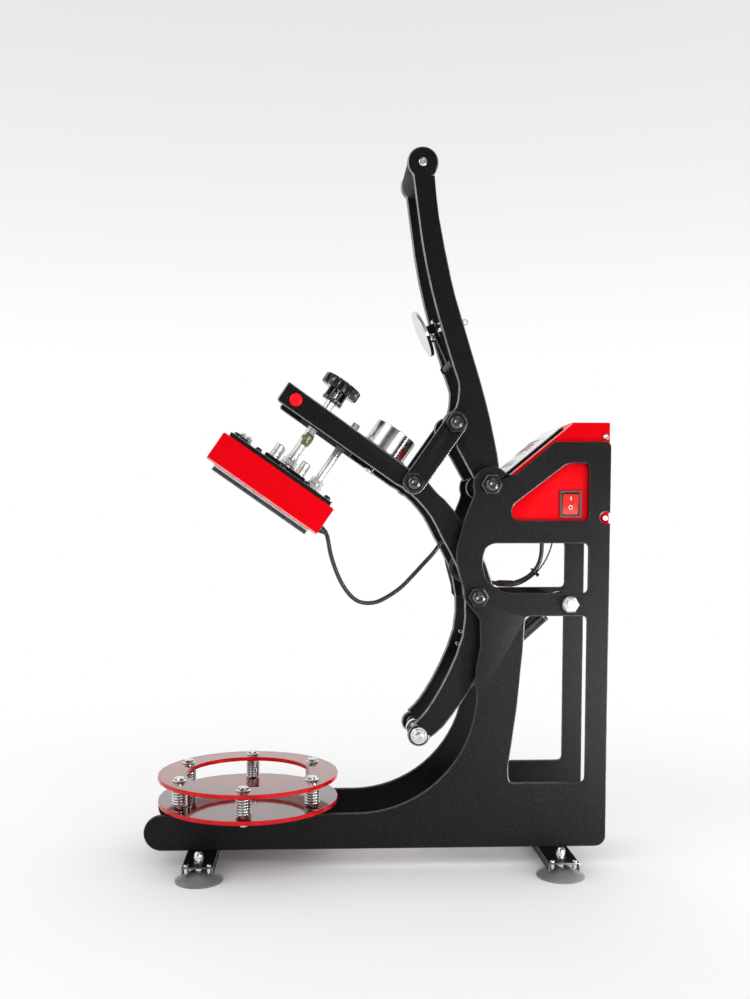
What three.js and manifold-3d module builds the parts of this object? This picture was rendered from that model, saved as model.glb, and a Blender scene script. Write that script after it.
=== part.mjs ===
// Ball heat press: a hinged head with a curved heating plate comes down on a ball held by a sprung ring.
// Millimetres, +Z up, +X towards the rear, -Y towards the operator's switch side.
// The origin is on the ground under the middle of the machine.

import * as THREE from 'three'
import { mergeVertices } from 'three/addons/utils/BufferGeometryUtils.js'
import Module from 'manifold-3d'

const wasm = await Module()
wasm.setup()

const degrees = Math.PI / 180
const fullTurn = 2 * Math.PI
const half = 0.5

// Fits shared by the whole machine
const clearance = 0.3
const overrun = 4

// Side plates
const plateLength = 537.8
const plateTop = 491.6
const footHeight = 20.8
const beamHeight = 41.6
const plateThickness = 6
const innerWidth = 104
const throatRadius = 139.5
const throatWallAhead = 152.4
const columnLength = 177.5
const rearCornerRadius = 12
const topCornerRadius = 6
const notchRadius = 7.5
const notchAhead = 4.6
const notchRise = 16.5

// Pivots in the plates: shares of the column's length, ahead of the rear edge, and of the plate's height
const armPivotShares = [0.855775, 0.62171]
const leverPivotShares = [0.774085, 0.895709]
const springPivotShares = [0.255211, 0.603866]
const axleRadius = 8
const domeRadius = 12
const domeHeight = 7
const collarRadius = 13

// Linkage
const armOpenAngle = 35
const leverSwing = 76
const linkPinLength = 150.5
const linkPinAngle = 154.4
const leverCrankAngle = 119.7
const layerGap = 1
const linkThickness = 6
const linkWidth = 26
const barThickness = 6

// Arm
const armReach = 268.5
const armUnderside = 52.3
const armDepth = 25.4
const armNose = 50.5
const armHubRadius = 14
const tailLength = 176
const tailAngle = -77.2
const tailEndRadius = 13
const noseRodRadius = 5
const noseRodSetback = 32
const nosePlugRadius = 7.5
const nosePlugHeight = 2.6

// Head
const headWidth = 149.4
const headHeight = 40.2
const headDrop = 59.8
const headWall = 1.5
const topPlateThickness = 5
const topPlateMargin = 6
const heaterWidth = 128
const heaterStandOut = 7.6
const heaterEdge = 3
const ballRadius = 110
const spindleRadius = 6
const collarHeight = 8
const spindleCollarRadius = 11
const knobHeight = 34.1
const knobRadius = 24
const knobThickness = 13.6
const knobHubRadius = 13
const knobHubHeight = 15
const fluteCount = 14
const fluteSteps = 6
const fluteDepth = 2.6
const guideSetback = 40
const guideRadius = 5
const guideRise = 9.6

// Electromagnet
const magnetSetback = 84
const magnetRadius = 26.5
const magnetHeight = 29.1
const bracketThickness = 6
const bracketLength = 56
const armatureRadius = 28
const armatureThickness = 4
const armatureLandingLength = 3.5
const armatureSwing = 10.7
const armatureArmLength = 46
const armatureDropHeight = 15.5
const armatureArmWidth = 12
const armatureArmThickness = 4
const armatureRodRadius = 4

// Lever
const leverLength = 372.1
const leverAngle = 102.25
const leverEndRadius = 17.8
const leverFootRadius = 15.5
const leverElbowRadius = 15
const gripRadius = 17

// Gas spring
const cylinderRadius = 9
const cylinderLength = 132
const springEyeRadius = 11
const springEyeThickness = 8
const springNeck = 24
const rodRadius = 4
const rodHiddenShare = 0.56
const springPlay = 3.2
const tieRodRadius = 5
const tieHeadRadius = 10
const tieHeadHeight = 6
const tailHeadHeight = 5.5

// Heads of bolts, nuts and cups: shares of their own radius and height
const domeShares = [[0.55, 0.85], [0.85, 0.3], [1, 0.15]]
const hexShares = [[0.62, 1], [0.7, 0.5], [1, 0.4]]
const linkDomeShares = [[0.55, 1], [0.85, 0.45], [1, 0.3]]
const capNutShares = [[0.7, 0.9], [1, 0.6]]
const tableHeadShares = [0.8, 0.7]
const cupSkirtShares = [0.72, 0.6]
const rockerFootShare = 0.6

// Table
const discRadius = 108
const discThickness = 5
const lowerDiscTop = 69.5
const ringTop = 99
const ringHoleRadius = 74
const boltCircleRadius = 89
const boltCount = 6
const tableBoltRadius = 4
const tableHeadRadius = 8
const tableHeadHeight = 5
const tableNutRadius = 6.5
const tableNutHeight = 5
const springOuterRadius = 9
const springWire = 2.6
const springCurls = 5
const tableBracketLength = 60
const tableBracketDepth = 20
const sheet = 2

// Feet
const footSpacing = 407.5
const footShift = 2.75
const footBarWidth = 35
const footBarHeight = 10
const footBarLength = 228
const cupRadius = 27
const cupInset = 17
const cupNeckRadius = 9
const cupLip = 5
const cupRimHeight = 2
const studRadius = 4
const washerRadius = 8
const nutRadius = 5.2
const nutHeight = 14

// Control box
const boxLength = 118.6
const boxHeight = 126
const boxRise = 22.4
const boxCrown = 43.6
const boxWall = 1.5
const coverInset = 2.3
const panelLength = 84
const panelWidth = 92
const panelThickness = 5
const keyCount = 3
const keyLength = 9
const keyWidth = 14
const keyHeight = 3
const keyTravel = 1.2
const keyProud = 0.8
const keyPitch = 22
const keySetback = 20
const displayLength = 26
const displayWidth = 60
const displayDepth = 1
const displaySetback = 52
const switchSetback = 45.3
const switchRise = 32.6
const switchLength = 25
const switchTall = 31
const switchProud = 2
const windowMargin = 7.8
const windowSill = 3.6
const panelWindowLength = 89.3
const panelWindowHeight = 65.4
const switchDepth = 14
const switchRim = 1
const switchWall = 1.2
const rockerRise = 3
const inletWidth = 30
const inletHeight = 24
const inletDepth = 18
const inletWall = 2
const inletFlange = 3
const inletRise = 34
const cordHoleSetback = 61.4
const cordHoleY = 20

// Cords
const cordRadius = 2.6
const glandRadius = 5
const glandLength = 4
const grommetRadius = 6
const cordSides = 8
const cordStep = 3

// Rounding
const roundSegments = 32
const smallSegments = 12
const tinySegments = 10
const cupSegments = 14
const gripSegments = 20
const eyeSegments = 24

// Places worked out from the sizes above
const front = -plateLength * half
const rear = plateLength * half
const innerFace = innerWidth * half
const outerFace = innerFace + plateThickness
const linkOuter = innerFace - layerGap
const linkInner = linkOuter - linkThickness
const barOuter = linkInner - layerGap
const barInner = barOuter - barThickness
const armPivot = plateAt(armPivotShares)
const leverPivot = plateAt(leverPivotShares)
const springPivot = plateAt(springPivotShares)
const discCentre = armPivot.x - armReach
const boxRear = rear - clearance
const boxTop = plateTop + boxRise
const boxBottom = boxTop - boxHeight
const switchX = rear - switchSetback
const switchHeight = boxBottom + switchRise
const cupSpacing = footBarLength - cupInset * 2
const headTopAt = armUnderside - headDrop

// A place on the side plates
function plateAt([ahead, up]) {
  return new THREE.Vector2(rear - ahead * columnLength, footHeight + up * (plateTop - footHeight))
}

function polar(angle, reach) {
  return new THREE.Vector2(Math.cos(angle * degrees) * reach, Math.sin(angle * degrees) * reach)
}

function turned(point, angle) {
  return point.clone().rotateAround(new THREE.Vector2(0, 0), angle * degrees)
}

// The link pin on the arm, open and closed
const linkPinClosed = polar(linkPinAngle, linkPinLength)
const linkPinOpen = turned(linkPinClosed, -armOpenAngle)
const linkPinAt = armPivot.clone().add(linkPinOpen)
const linkPinEnd = armPivot.clone().add(linkPinClosed)

// The crank on the lever is as long as lets one link length serve both ends of the swing
function crankLength() {
  const open = leverPivot.clone().sub(linkPinAt)
  const closed = leverPivot.clone().sub(linkPinEnd)
  const crank = polar(leverCrankAngle, 1)
  const crankClosed = turned(crank, leverSwing)
  const rise = closed.lengthSq() - open.lengthSq()
  return rise / (2 * (crank.dot(open) - crankClosed.dot(closed)))
}

const elbow = polar(leverCrankAngle, crankLength())
const elbowAt = leverPivot.clone().add(elbow)
const linkLength = elbowAt.distanceTo(linkPinAt)
const linkAngle = linkPinAt.clone().sub(elbowAt).angle() / degrees
const tailPin = polar(tailAngle, tailLength)
const tailPinAt = armPivot.clone().add(turned(tailPin, -armOpenAngle))
const springAngle = tailPinAt.clone().sub(springPivot).angle() / degrees
const springLength = tailPinAt.distanceTo(springPivot)

// Solids

function closedMesh(geometry) {
  const bare = geometry.clone()
  for (const name of Object.keys(bare.attributes)) {
    if (name !== 'position') bare.deleteAttribute(name)
  }
  const merged = mergeVertices(bare)
  const index = merged.index.array
  const position = merged.attributes.position
  const kept = []
  const corner = [new THREE.Vector3(), new THREE.Vector3(), new THREE.Vector3()]
  let volume = 0
  for (let i = 0; i < index.length; i += 3) {
    const [a, b, c] = [index[i], index[i + 1], index[i + 2]]
    if (a === b || b === c || c === a) continue
    kept.push(a, b, c)
    corner.forEach((point, k) => point.fromBufferAttribute(position, index[i + k]))
    volume += corner[0].dot(corner[1].clone().cross(corner[2]))
  }
  if (volume < 0) kept.reverse()
  return { vertices: new Float32Array(position.array), triangles: new Uint32Array(kept) }
}

function solid(geometry) {
  const { vertices, triangles } = closedMesh(geometry)
  return new wasm.Manifold(new wasm.Mesh({ numProp: 3, vertProperties: vertices, triVerts: triangles }))
}

function geometryOf(manifold) {
  const mesh = manifold.getMesh()
  const geometry = new THREE.BufferGeometry()
  geometry.setAttribute('position', new THREE.BufferAttribute(new Float32Array(mesh.vertProperties), 3))
  geometry.setIndex(new THREE.BufferAttribute(new Uint32Array(mesh.triVerts), 1))
  return geometry
}

function join(first, ...rest) {
  return geometryOf(rest.reduce((sum, next) => sum.add(solid(next)), solid(first)))
}

function cut(first, ...rest) {
  return geometryOf(rest.reduce((left, next) => left.subtract(solid(next)), solid(first)))
}

// A box from its lowest to its highest corner
function block(x0, x1, y0, y1, z0, z1) {
  const box = new THREE.BoxGeometry(x1 - x0, y1 - y0, z1 - z0)
  return box.translate((x0 + x1) * half, (y0 + y1) * half, (z0 + z1) * half)
}

// A round bar along Y
function barY(radius, x, z, y0, y1, segments = smallSegments) {
  const bar = new THREE.CylinderGeometry(radius, radius, y1 - y0, segments)
  return bar.translate(x, (y0 + y1) * half, z)
}

// A round bar along Z
function barZ(radius, x, y, z0, z1, segments = smallSegments) {
  const bar = new THREE.CylinderGeometry(radius, radius, z1 - z0, segments)
  return bar.rotateX(Math.PI * half).translate(x, y, (z0 + z1) * half)
}

// A profile of [radius, along] turned about Y
function turnY(profile, segments = smallSegments) {
  return new THREE.LatheGeometry(profile.map(([r, along]) => new THREE.Vector2(r, along)), segments)
}

// A profile of [radius, height] turned about Z
function turnZ(profile, segments = smallSegments) {
  return turnY(profile, segments).rotateX(Math.PI * half)
}

// An outline in X and Z, made as thick as the span between two values of Y
function slab(outline, y0, y1) {
  const shape = outline instanceof THREE.Shape ? outline : new THREE.Shape(outline)
  const plate = new THREE.ExtrudeGeometry(shape, { depth: y1 - y0, bevelEnabled: false })
  return plate.rotateX(Math.PI * half).translate(0, y1, 0)
}

function arc(centre, radius, from, to, steps) {
  const points = []
  for (let i = 0; i <= steps; i += 1) {
    points.push(polar(from + (to - from) * i / steps, radius).add(centre))
  }
  return points
}

function smooth(points, steps) {
  return new THREE.SplineCurve(points).getPoints(steps)
}

function at(x, z) {
  return new THREE.Vector2(x, z)
}

// Joins an outline and the round bosses at its pivots, then drills them
function drilled(outline, bosses, holes, y0, y1) {
  let body = solid(slab(outline, y0, y1))
  for (const [place, radius] of bosses) {
    body = body.add(solid(barY(radius, place.x, place.y, y0, y1, roundSegments)))
  }
  for (const [place, radius] of holes) {
    body = body.subtract(solid(barY(radius, place.x, place.y, y0 - overrun, y1 + overrun, smallSegments)))
  }
  return geometryOf(body)
}

const finishes = {
  powderBlack: { color: 0x1a1a1c, roughness: 0.45, metalness: 0.1 },
  redPaint: { color: 0xe60010, roughness: 0.3, metalness: 0.05 },
  redAcrylic: { color: 0xc8101c, roughness: 0.08, metalness: 0 },
  chrome: { color: 0xd8d8da, roughness: 0.15, metalness: 1 },
  zinc: { color: 0xb9b6ae, roughness: 0.35, metalness: 0.9 },
  blackSteel: { color: 0x161618, roughness: 0.25, metalness: 0.6 },
  heaterGrey: { color: 0x4a4a4c, roughness: 0.5, metalness: 0.6 },
  blackPlastic: { color: 0x101012, roughness: 0.4, metalness: 0 },
  rubberGrey: { color: 0x8a8c90, roughness: 0.6, metalness: 0 },
  cordBlack: { color: 0x121212, roughness: 0.6, metalness: 0 },
  silverPlastic: { color: 0xe4e6e8, roughness: 0.35, metalness: 0.1 },
  rockerRed: { color: 0xf02010, roughness: 0.2, metalness: 0 },
  greyPlastic: { color: 0x77787c, roughness: 0.4, metalness: 0.1 },
}

const press = new THREE.Group()

function add(name, geometry, finish, parent = press) {
  const mesh = new THREE.Mesh(geometry, new THREE.MeshStandardMaterial(finishes[finish]))
  mesh.name = name
  parent.add(mesh)
  return mesh
}

// A group whose own X-Z plane is turned about a pivot, anticlockwise as the switch side sees it
function pivotGroup(place, angle = 0) {
  const group = new THREE.Group()
  group.position.set(place.x, 0, place.y)
  group.rotation.y = -angle * degrees
  press.add(group)
  return group
}

// Side plates: each place is a share of the column's length, ahead of the rear edge, and of its height.
// The panel window's places are shares of its own length and height, from its lower rear corner.

const columnEdgeShares = [
  [0.3651, 1], [0.5866, 0.9301], [0.6248, 0.9215], [0.6732, 0.9204], [0.7223, 0.93],
]
const neckEdgeShares = [
  [0.8862, 0.9096], [0.8829, 0.8756], [0.9526, 0.8078], [0.9847, 0.7617], [0.9999, 0.7373],
  [0.9926, 0.7007], [0.9493, 0.6398],
]
const recessEdgeShares = [
  [0.9426, 0.6154], [0.8484, 0.5686], [0.8438, 0.5613], [0.8411, 0.4998], [0.8678, 0.4482],
  [0.8732, 0.4159],
]
const panelWindowShares = [
  [0.2831, 1.0006], [0, 1.0006], [0, 0], [0.9244, 0], [0.9997, 0.0777], [0.9907, 0.2613],
]
const upperWindowShares = [
  [0.759, 0.7534], [0.1376, 0.7534], [0.1376, 0.6313], [0.6405, 0.6313], [0.6987, 0.636],
  [0.7453, 0.6474], [0.8, 0.6605], [0.825, 0.6886], [0.829, 0.719], [0.8029, 0.745],
]
const lowerWindowShares = [
  [0.5436, 0.575], [0.1409, 0.575], [0.1409, 0.1608], [0.6445, 0.1608], [0.6517, 0.199],
  [0.6223, 0.2742], [0.5893, 0.3658], [0.5572, 0.5], [0.5514, 0.5584],
]
const windowCornerRadius = 6

// Rounds each corner of a closed outline with a short arc-like curve
function rounded(points, radius, steps = 3) {
  const outline = []
  points.forEach((corner, i) => {
    const before = points[(i + points.length - 1) % points.length]
    const after = points[(i + 1) % points.length]
    const reach = Math.min(radius, corner.distanceTo(before) * half, corner.distanceTo(after) * half)
    const start = before.clone().sub(corner).setLength(reach).add(corner)
    const end = after.clone().sub(corner).setLength(reach).add(corner)
    outline.push(...new THREE.QuadraticBezierCurve(start, corner, end).getPoints(steps))
  })
  return outline.filter((point, i) => point.distanceTo(outline[(i + 1) % outline.length]) > clearance * half)
}

function sidePlateShape() {
  const beamTop = footHeight + beamHeight
  const nose = beamHeight * half
  const throat = at(rear - throatWallAhead - throatRadius, beamTop + throatRadius)
  const outline = [
    ...arc(at(rear - rearCornerRadius, footHeight + rearCornerRadius), rearCornerRadius, -90, 0, 6),
    ...arc(at(rear - topCornerRadius, plateTop - topCornerRadius), topCornerRadius, 0, 90, 4),
    ...smooth(columnEdgeShares.map(plateAt), 12),
    ...smooth(neckEdgeShares.map(plateAt), 15),
    ...recessEdgeShares.map(plateAt),
    ...arc(throat, throatRadius, 0, -90, 18),
    ...arc(at(front + nose, footHeight + nose), nose, 90, 270, 14),
  ]
  const shape = new THREE.Shape(outline)
  const panelWindow = panelWindowShares.map(([ahead, up]) => at(
    switchX + switchLength * half + windowMargin - ahead * panelWindowLength,
    switchHeight - switchTall * half - windowSill + up * panelWindowHeight))
  for (const window of [panelWindow, upperWindowShares.map(plateAt), lowerWindowShares.map(plateAt)]) {
    shape.holes.push(new THREE.Path(rounded(window, windowCornerRadius)))
  }
  return shape
}

const plateBossRadius = 21
const plateHoles = [
  [armPivot, axleRadius + clearance],
  [leverPivot, axleRadius + clearance],
  [springPivot, tieRodRadius + clearance],
  [at(rear - notchAhead, boxBottom + notchRise), notchRadius],
]
const plateBosses = [[leverPivot, plateBossRadius]]

for (const [name, side] of [['side_plate_right', -1], ['side_plate_left', 1]]) {
  const [y0, y1] = side < 0 ? [-outerFace, -innerFace] : [innerFace, outerFace]
  add(name, drilled(sidePlateShape(), plateBosses, plateHoles, y0, y1), 'powderBlack')
}

// Feet: channel bars across under the plates, and a suction cup with its stud and nut at each end

const barTop = footHeight - clearance

function footBar(x) {
  const [x0, x1] = [x - footBarWidth * half, x + footBarWidth * half]
  const reach = footBarLength * half
  const outer = block(x0, x1, -reach, reach, barTop - footBarHeight, barTop)
  const hollow = block(
    x0 + sheet, x1 - sheet, -reach - overrun, reach + overrun,
    barTop - footBarHeight - overrun, barTop - sheet)
  const holes = [-1, 1].map((side) => barZ(
    studRadius + clearance, x, side * cupSpacing * half,
    barTop - footBarHeight, barTop + overrun, tinySegments))
  return cut(outer, hollow, ...holes)
}

function suctionCup(x, y) {
  const neckTop = barTop - sheet - clearance
  const nutAt = barTop + clearance
  const skirt = barTop - footBarHeight - clearance
  const [skirtOut, skirtUp] = cupSkirtShares
  const nut = capNutShares.map(([out, up]) => [nutRadius * out, nutAt + nutHeight * up]).reverse()
  const cup = turnZ([
    [0, cupRimHeight], [cupRadius - cupLip, cupRimHeight * half], [cupRadius - cupLip, 0], [cupRadius, 0],
    [cupRadius, cupRimHeight], [cupRadius * skirtOut, skirt * skirtUp],
    [cupNeckRadius, skirt], [cupNeckRadius, neckTop],
    [studRadius, neckTop], [studRadius, nutAt], [washerRadius, nutAt], [washerRadius, nutAt + sheet * half],
    [nutRadius, nutAt + sheet * half], ...nut, [0, nutAt + nutHeight],
  ], cupSegments)
  return cup.translate(x, y, 0)
}

for (const [end, along] of [['front', -1], ['rear', 1]]) {
  const x = along * footSpacing * half + footShift
  add(`foot_bar_${end}`, footBar(x), 'powderBlack')
  for (const [side, across] of [['right', -1], ['left', 1]]) {
    add(`suction_cup_${end}_${side}`, suctionCup(x, across * cupSpacing * half), 'rubberGrey')
  }
}

// Table: bracket, lower disc, sprung ring, guide bolts and springs

const lowerDiscUnder = lowerDiscTop - discThickness
const ringUnder = ringTop - discThickness

function tableBracket() {
  const top = lowerDiscUnder - clearance
  const [x0, x1] = [discCentre - tableBracketLength * half, discCentre + tableBracketLength * half]
  const reach = innerFace - clearance
  const outer = block(x0, x1, -reach, reach, top - tableBracketDepth, top)
  const hollow = block(
    x0 - overrun, x1 + overrun, -reach + sheet, reach - sheet, top - tableBracketDepth - overrun, top - sheet)
  return cut(outer, hollow)
}

function boltPlaces() {
  const places = []
  for (let i = 0; i < boltCount; i += 1) {
    const place = polar(-90 + 360 * i / boltCount, boltCircleRadius)
    places.push(at(discCentre + place.x, place.y))
  }
  return places
}

function acrylicDisc(z0, z1, holeRadius) {
  const holes = boltPlaces().map((p) => barZ(
    tableBoltRadius + clearance, p.x, p.y, z0 - overrun, z1 + overrun, tinySegments))
  if (holeRadius > 0) {
    holes.push(barZ(holeRadius, discCentre, 0, z0 - overrun, z1 + overrun, roundSegments))
  }
  return cut(barZ(discRadius, discCentre, 0, z0, z1, roundSegments), ...holes)
}

function tableBolt(place) {
  const head = ringTop + clearance
  const nut = lowerDiscUnder - clearance
  const [crownOut, crownUp] = tableHeadShares
  const bolt = turnZ([
    [0, nut - tableNutHeight], [tableNutRadius, nut - tableNutHeight], [tableNutRadius, nut],
    [tableBoltRadius, nut], [tableBoltRadius, head], [tableHeadRadius, head],
    [tableHeadRadius * crownOut, head + tableHeadHeight * crownUp], [0, head + tableHeadHeight],
  ], tinySegments)
  return bolt.translate(place.x, place.y, 0)
}

// One coil spring as a single tube: a short straight end, the curls, and another straight end
const curlSteps = 8
const wireSides = 5

function springLine() {
  const bottom = lowerDiscTop + clearance
  const top = ringUnder - clearance
  const radius = springOuterRadius - springWire * half
  const points = [new THREE.Vector3(radius, 0, bottom)]
  const climb = top - bottom - springWire * 2
  const steps = springCurls * curlSteps
  for (let i = 0; i <= steps; i += 1) {
    const angle = fullTurn * i / curlSteps
    const z = bottom + springWire + climb * i / steps
    points.push(new THREE.Vector3(Math.cos(angle) * radius, Math.sin(angle) * radius, z))
  }
  points.push(new THREE.Vector3(radius, 0, top))
  return points
}

// A tube of flat sides round a line of points, closed at both ends. The ends face straight up and down.
function coilTube(line, radius, sides) {
  const vertices = []
  const triangles = []
  line.forEach((point, i) => {
    const isEnd = i === 0 || i === line.length - 1
    const along = isEnd
      ? new THREE.Vector3(0, 0, 1)
      : line[i + 1].clone().sub(line[i - 1]).normalize()
    const out = new THREE.Vector3(point.x, point.y, 0).normalize()
    const up = along.clone().cross(out).normalize()
    const flat = up.clone().cross(along).normalize()
    for (let s = 0; s < sides; s += 1) {
      const angle = fullTurn * s / sides
      const rim = flat.clone().multiplyScalar(Math.cos(angle) * radius)
      vertices.push(rim.addScaledVector(up, Math.sin(angle) * radius).add(point))
    }
  })
  const rings = line.length
  for (let i = 0; i + 1 < rings; i += 1) {
    for (let s = 0; s < sides; s += 1) {
      const a = i * sides + s
      const b = i * sides + (s + 1) % sides
      triangles.push(a, b, b + sides, a, b + sides, a + sides)
    }
  }
  for (let s = 1; s + 1 < sides; s += 1) {
    triangles.push(0, s + 1, s)
    const last = (rings - 1) * sides
    triangles.push(last, last + s, last + s + 1)
  }
  const geometry = new THREE.BufferGeometry().setFromPoints(vertices)
  geometry.setIndex(triangles)
  return geometry
}

// The least gap between one curl and the next, measured between points of the line
function leastGap(line, wire) {
  let least = Infinity
  const apart = curlSteps * half
  for (let i = 0; i < line.length; i += 1) {
    for (let k = i + apart; k < line.length; k += 1) {
      least = Math.min(least, line[i].distanceTo(line[k]) - wire)
    }
  }
  return least
}

const coilLine = springLine()
const coil = coilTube(coilLine, springWire * half, wireSides)
console.log(`least gap between the curls of a table spring: ${leastGap(coilLine, springWire).toFixed(2)} mm`)

add('table_bracket', tableBracket(), 'powderBlack')
add('lower_disc', acrylicDisc(lowerDiscUnder, lowerDiscTop, 0), 'redAcrylic')
add('upper_ring', acrylicDisc(ringUnder, ringTop, ringHoleRadius), 'redAcrylic')
boltPlaces().forEach((place, i) => {
  const spring = add(`table_spring_${i + 1}`, coil.clone(), 'chrome')
  spring.position.set(place.x, place.y, 0)
  add(`table_bolt_${i + 1}`, tableBolt(place), 'chrome')
})

// Control box between the plates

const boxFront = rear - clearance - boxLength
const boxHalf = innerFace - clearance
const slopeRun = boxLength - boxCrown
const slopeAngle = 39.4
const slopeFoot = boxTop - slopeRun * Math.tan(slopeAngle * degrees)

function boxOutline(inset) {
  const back = boxRear + (inset > 0 ? overrun : 0)
  const slopeInset = inset / Math.cos(slopeAngle * degrees)
  const crownShift = inset * Math.tan(slopeAngle * half * degrees)
  return [
    at(boxFront + inset, boxBottom + inset),
    at(back, boxBottom + inset),
    at(back, boxTop - inset),
    at(boxRear - boxCrown + crownShift, boxTop - inset),
    at(boxFront + inset, slopeFoot + inset * Math.tan(slopeAngle * degrees) - slopeInset),
  ]
}

const cordHoleX = rear - cordHoleSetback

function controlBox() {
  const outer = slab(boxOutline(0), -boxHalf, boxHalf)
  const hollow = slab(boxOutline(boxWall), -boxHalf + boxWall, boxHalf - boxWall)
  const window = block(
    switchX - switchLength * half + switchRim, switchX + switchLength * half - switchRim,
    -boxHalf - overrun, -boxHalf + boxWall + overrun,
    switchHeight - switchTall * half + switchRim, switchHeight + switchTall * half - switchRim)
  const cordHole = barZ(
    grommetRadius, cordHoleX, cordHoleY, boxBottom - overrun, boxBottom + boxWall + overrun, smallSegments)
  return cut(outer, hollow, window, cordHole)
}

const coverBack = boxRear - coverInset
const coverHalf = boxHalf - boxWall - clearance
const inletAt = boxBottom + inletRise

function rearCover() {
  const [z0, z1] = [boxBottom + boxWall + clearance, boxTop - boxWall - clearance]
  const sheetBlock = block(coverBack - boxWall, coverBack, -coverHalf, coverHalf, z0, z1)
  const hole = block(
    coverBack - overrun, coverBack + overrun, -inletWidth * half - clearance, inletWidth * half + clearance,
    inletAt - inletHeight * half - clearance, inletAt + inletHeight * half + clearance)
  return cut(sheetBlock, hole)
}

function mainsInlet() {
  const [y, z] = [inletWidth * half, inletHeight * half]
  const face = coverBack + clearance + inletWall
  const body = block(face - inletDepth, face - inletWall * half, -y, y, inletAt - z, inletAt + z)
  const flange = block(
    coverBack + clearance, face, -y - inletFlange, y + inletFlange,
    inletAt - z - inletFlange, inletAt + z + inletFlange)
  const socket = block(
    face - inletDepth + inletWall, face + overrun, -y + inletWall, y - inletWall,
    inletAt - z + inletWall, inletAt + z - inletWall)
  return cut(join(body, flange), socket)
}

add('control_box', controlBox(), 'redPaint')
add('rear_cover', rearCover(), 'powderBlack')
add('mains_inlet', mainsInlet(), 'blackPlastic')

// Display panel on the box's slope. Its own X runs up the slope and its own Z stands off it.

const slope = new THREE.Group()
slope.position.set(boxFront, 0, slopeFoot)
slope.rotation.y = -slopeAngle * degrees
press.add(slope)

function keyPlaces() {
  return Array.from({ length: keyCount }, (_, i) => (i - (keyCount - 1) * half) * keyPitch)
}

function keyBlock(y, grow, z0, z1) {
  return block(
    keySetback - keyLength * half - grow, keySetback + keyLength * half + grow,
    y - keyWidth * half - grow, y + keyWidth * half + grow, z0, z1)
}

const panelFace = clearance + panelThickness
const keyFloor = panelFace + keyProud - keyHeight

function displayPanel() {
  const frame = block(0, panelLength, -panelWidth * half, panelWidth * half, clearance, panelFace)
  const window = block(
    displaySetback - displayLength * half, displaySetback + displayLength * half,
    -displayWidth * half, displayWidth * half, panelFace - displayDepth, panelFace + overrun)
  const pockets = keyPlaces().map((y) => keyBlock(y, clearance, keyFloor - keyTravel, panelFace + overrun))
  return cut(frame, window, ...pockets)
}

add('display_panel', displayPanel(), 'silverPlastic', slope)
keyPlaces().forEach((y, i) => {
  add(`panel_key_${i + 1}`, keyBlock(y, 0, keyFloor, panelFace + keyProud), 'greyPlastic', slope)
})

// Mains switch on the operator's side of the box

function switchBezel() {
  const [x, z] = [switchLength * half, switchTall * half]
  const face = -boxHalf - clearance - switchProud
  const frame = block(
    switchX - x, switchX + x, face, -boxHalf - clearance, switchHeight - z, switchHeight + z)
  const neck = switchRim + clearance
  const body = block(
    switchX - x + neck, switchX + x - neck, -boxHalf - clearance * 2, -boxHalf + switchDepth,
    switchHeight - z + neck, switchHeight + z - neck)
  const well = block(
    switchX - x + neck + switchWall, switchX + x - neck - switchWall, face - overrun,
    -boxHalf + switchDepth - switchWall,
    switchHeight - z + neck + switchWall, switchHeight + z - neck - switchWall)
  return cut(join(frame, body), well)
}

const rockerTilt = 9

function rocker() {
  const reach = switchTall * half - switchRim - switchWall - clearance * 4
  const acrossHalf = switchLength * half - switchRim - switchWall - clearance * 3
  const depth = switchDepth * half
  const outline = new THREE.Shape([
    at(-reach, 0), at(-reach * half, -depth * rockerFootShare),
    at(reach * half, -depth * rockerFootShare), at(reach, 0),
    at(reach, rockerRise), at(0, rockerRise * half), at(-reach, rockerRise),
  ])
  const body = new THREE.ExtrudeGeometry(outline, { depth: acrossHalf * 2, bevelEnabled: false })
  body.translate(0, 0, -acrossHalf)
  const turn = new THREE.Matrix4().makeBasis(
    new THREE.Vector3(0, 0, 1), new THREE.Vector3(0, -1, 0), new THREE.Vector3(1, 0, 0))
  return body.applyMatrix4(turn)
}

add('switch_bezel', switchBezel(), 'greyPlastic')
const rockerGroup = new THREE.Group()
rockerGroup.position.set(switchX, -boxHalf, switchHeight)
rockerGroup.rotation.x = rockerTilt * degrees
press.add(rockerGroup)
add('rocker', rocker(), 'rockerRed', rockerGroup)

// Axles across the frame

// Turns a profile about Y together with its mirror image
function bothEnds(side, segments = smallSegments) {
  const mirrored = side.map(([r, along]) => [r, -along]).reverse()
  return turnY([...side, ...mirrored].reverse(), segments)
}

function domedAxle(reach, collars) {
  return bothEnds([
    [0, reach + domeHeight], ...domeShares.map(([out, up]) => [domeRadius * out, reach + domeHeight * up]),
    [domeRadius, reach], [axleRadius, reach], ...collars,
  ], cupSegments)
}

const axleCollars = [
  [axleRadius, innerFace - clearance], [collarRadius, innerFace - clearance],
  [collarRadius, barOuter + clearance], [axleRadius, barOuter + clearance],
]

for (const [name, place] of [['arm_axle', armPivot], ['lever_axle', leverPivot]]) {
  const axle = add(name, domedAxle(outerFace + clearance, axleCollars), 'blackSteel')
  axle.position.set(place.x, 0, place.y)
}

// A plain bolt across Y with a thick hexagon-like head at each end
function crossBolt(shank, reach, head, height) {
  return bothEnds([
    [0, reach + height], ...hexShares.map(([out, up]) => [head * out, reach + height * up]),
    [head, reach], [shank, reach],
  ])
}

const tieBoltShape = crossBolt(tieRodRadius, outerFace + clearance, tieHeadRadius, tieHeadHeight)
const tieBolt = add('tie_bolt', tieBoltShape, 'chrome')
tieBolt.position.set(springPivot.x, 0, springPivot.y)

// Arm: drawn as it lies when closed, level and with the pivot at its origin, then swung open

const arm = pivotGroup(armPivot, -armOpenAngle)

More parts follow.
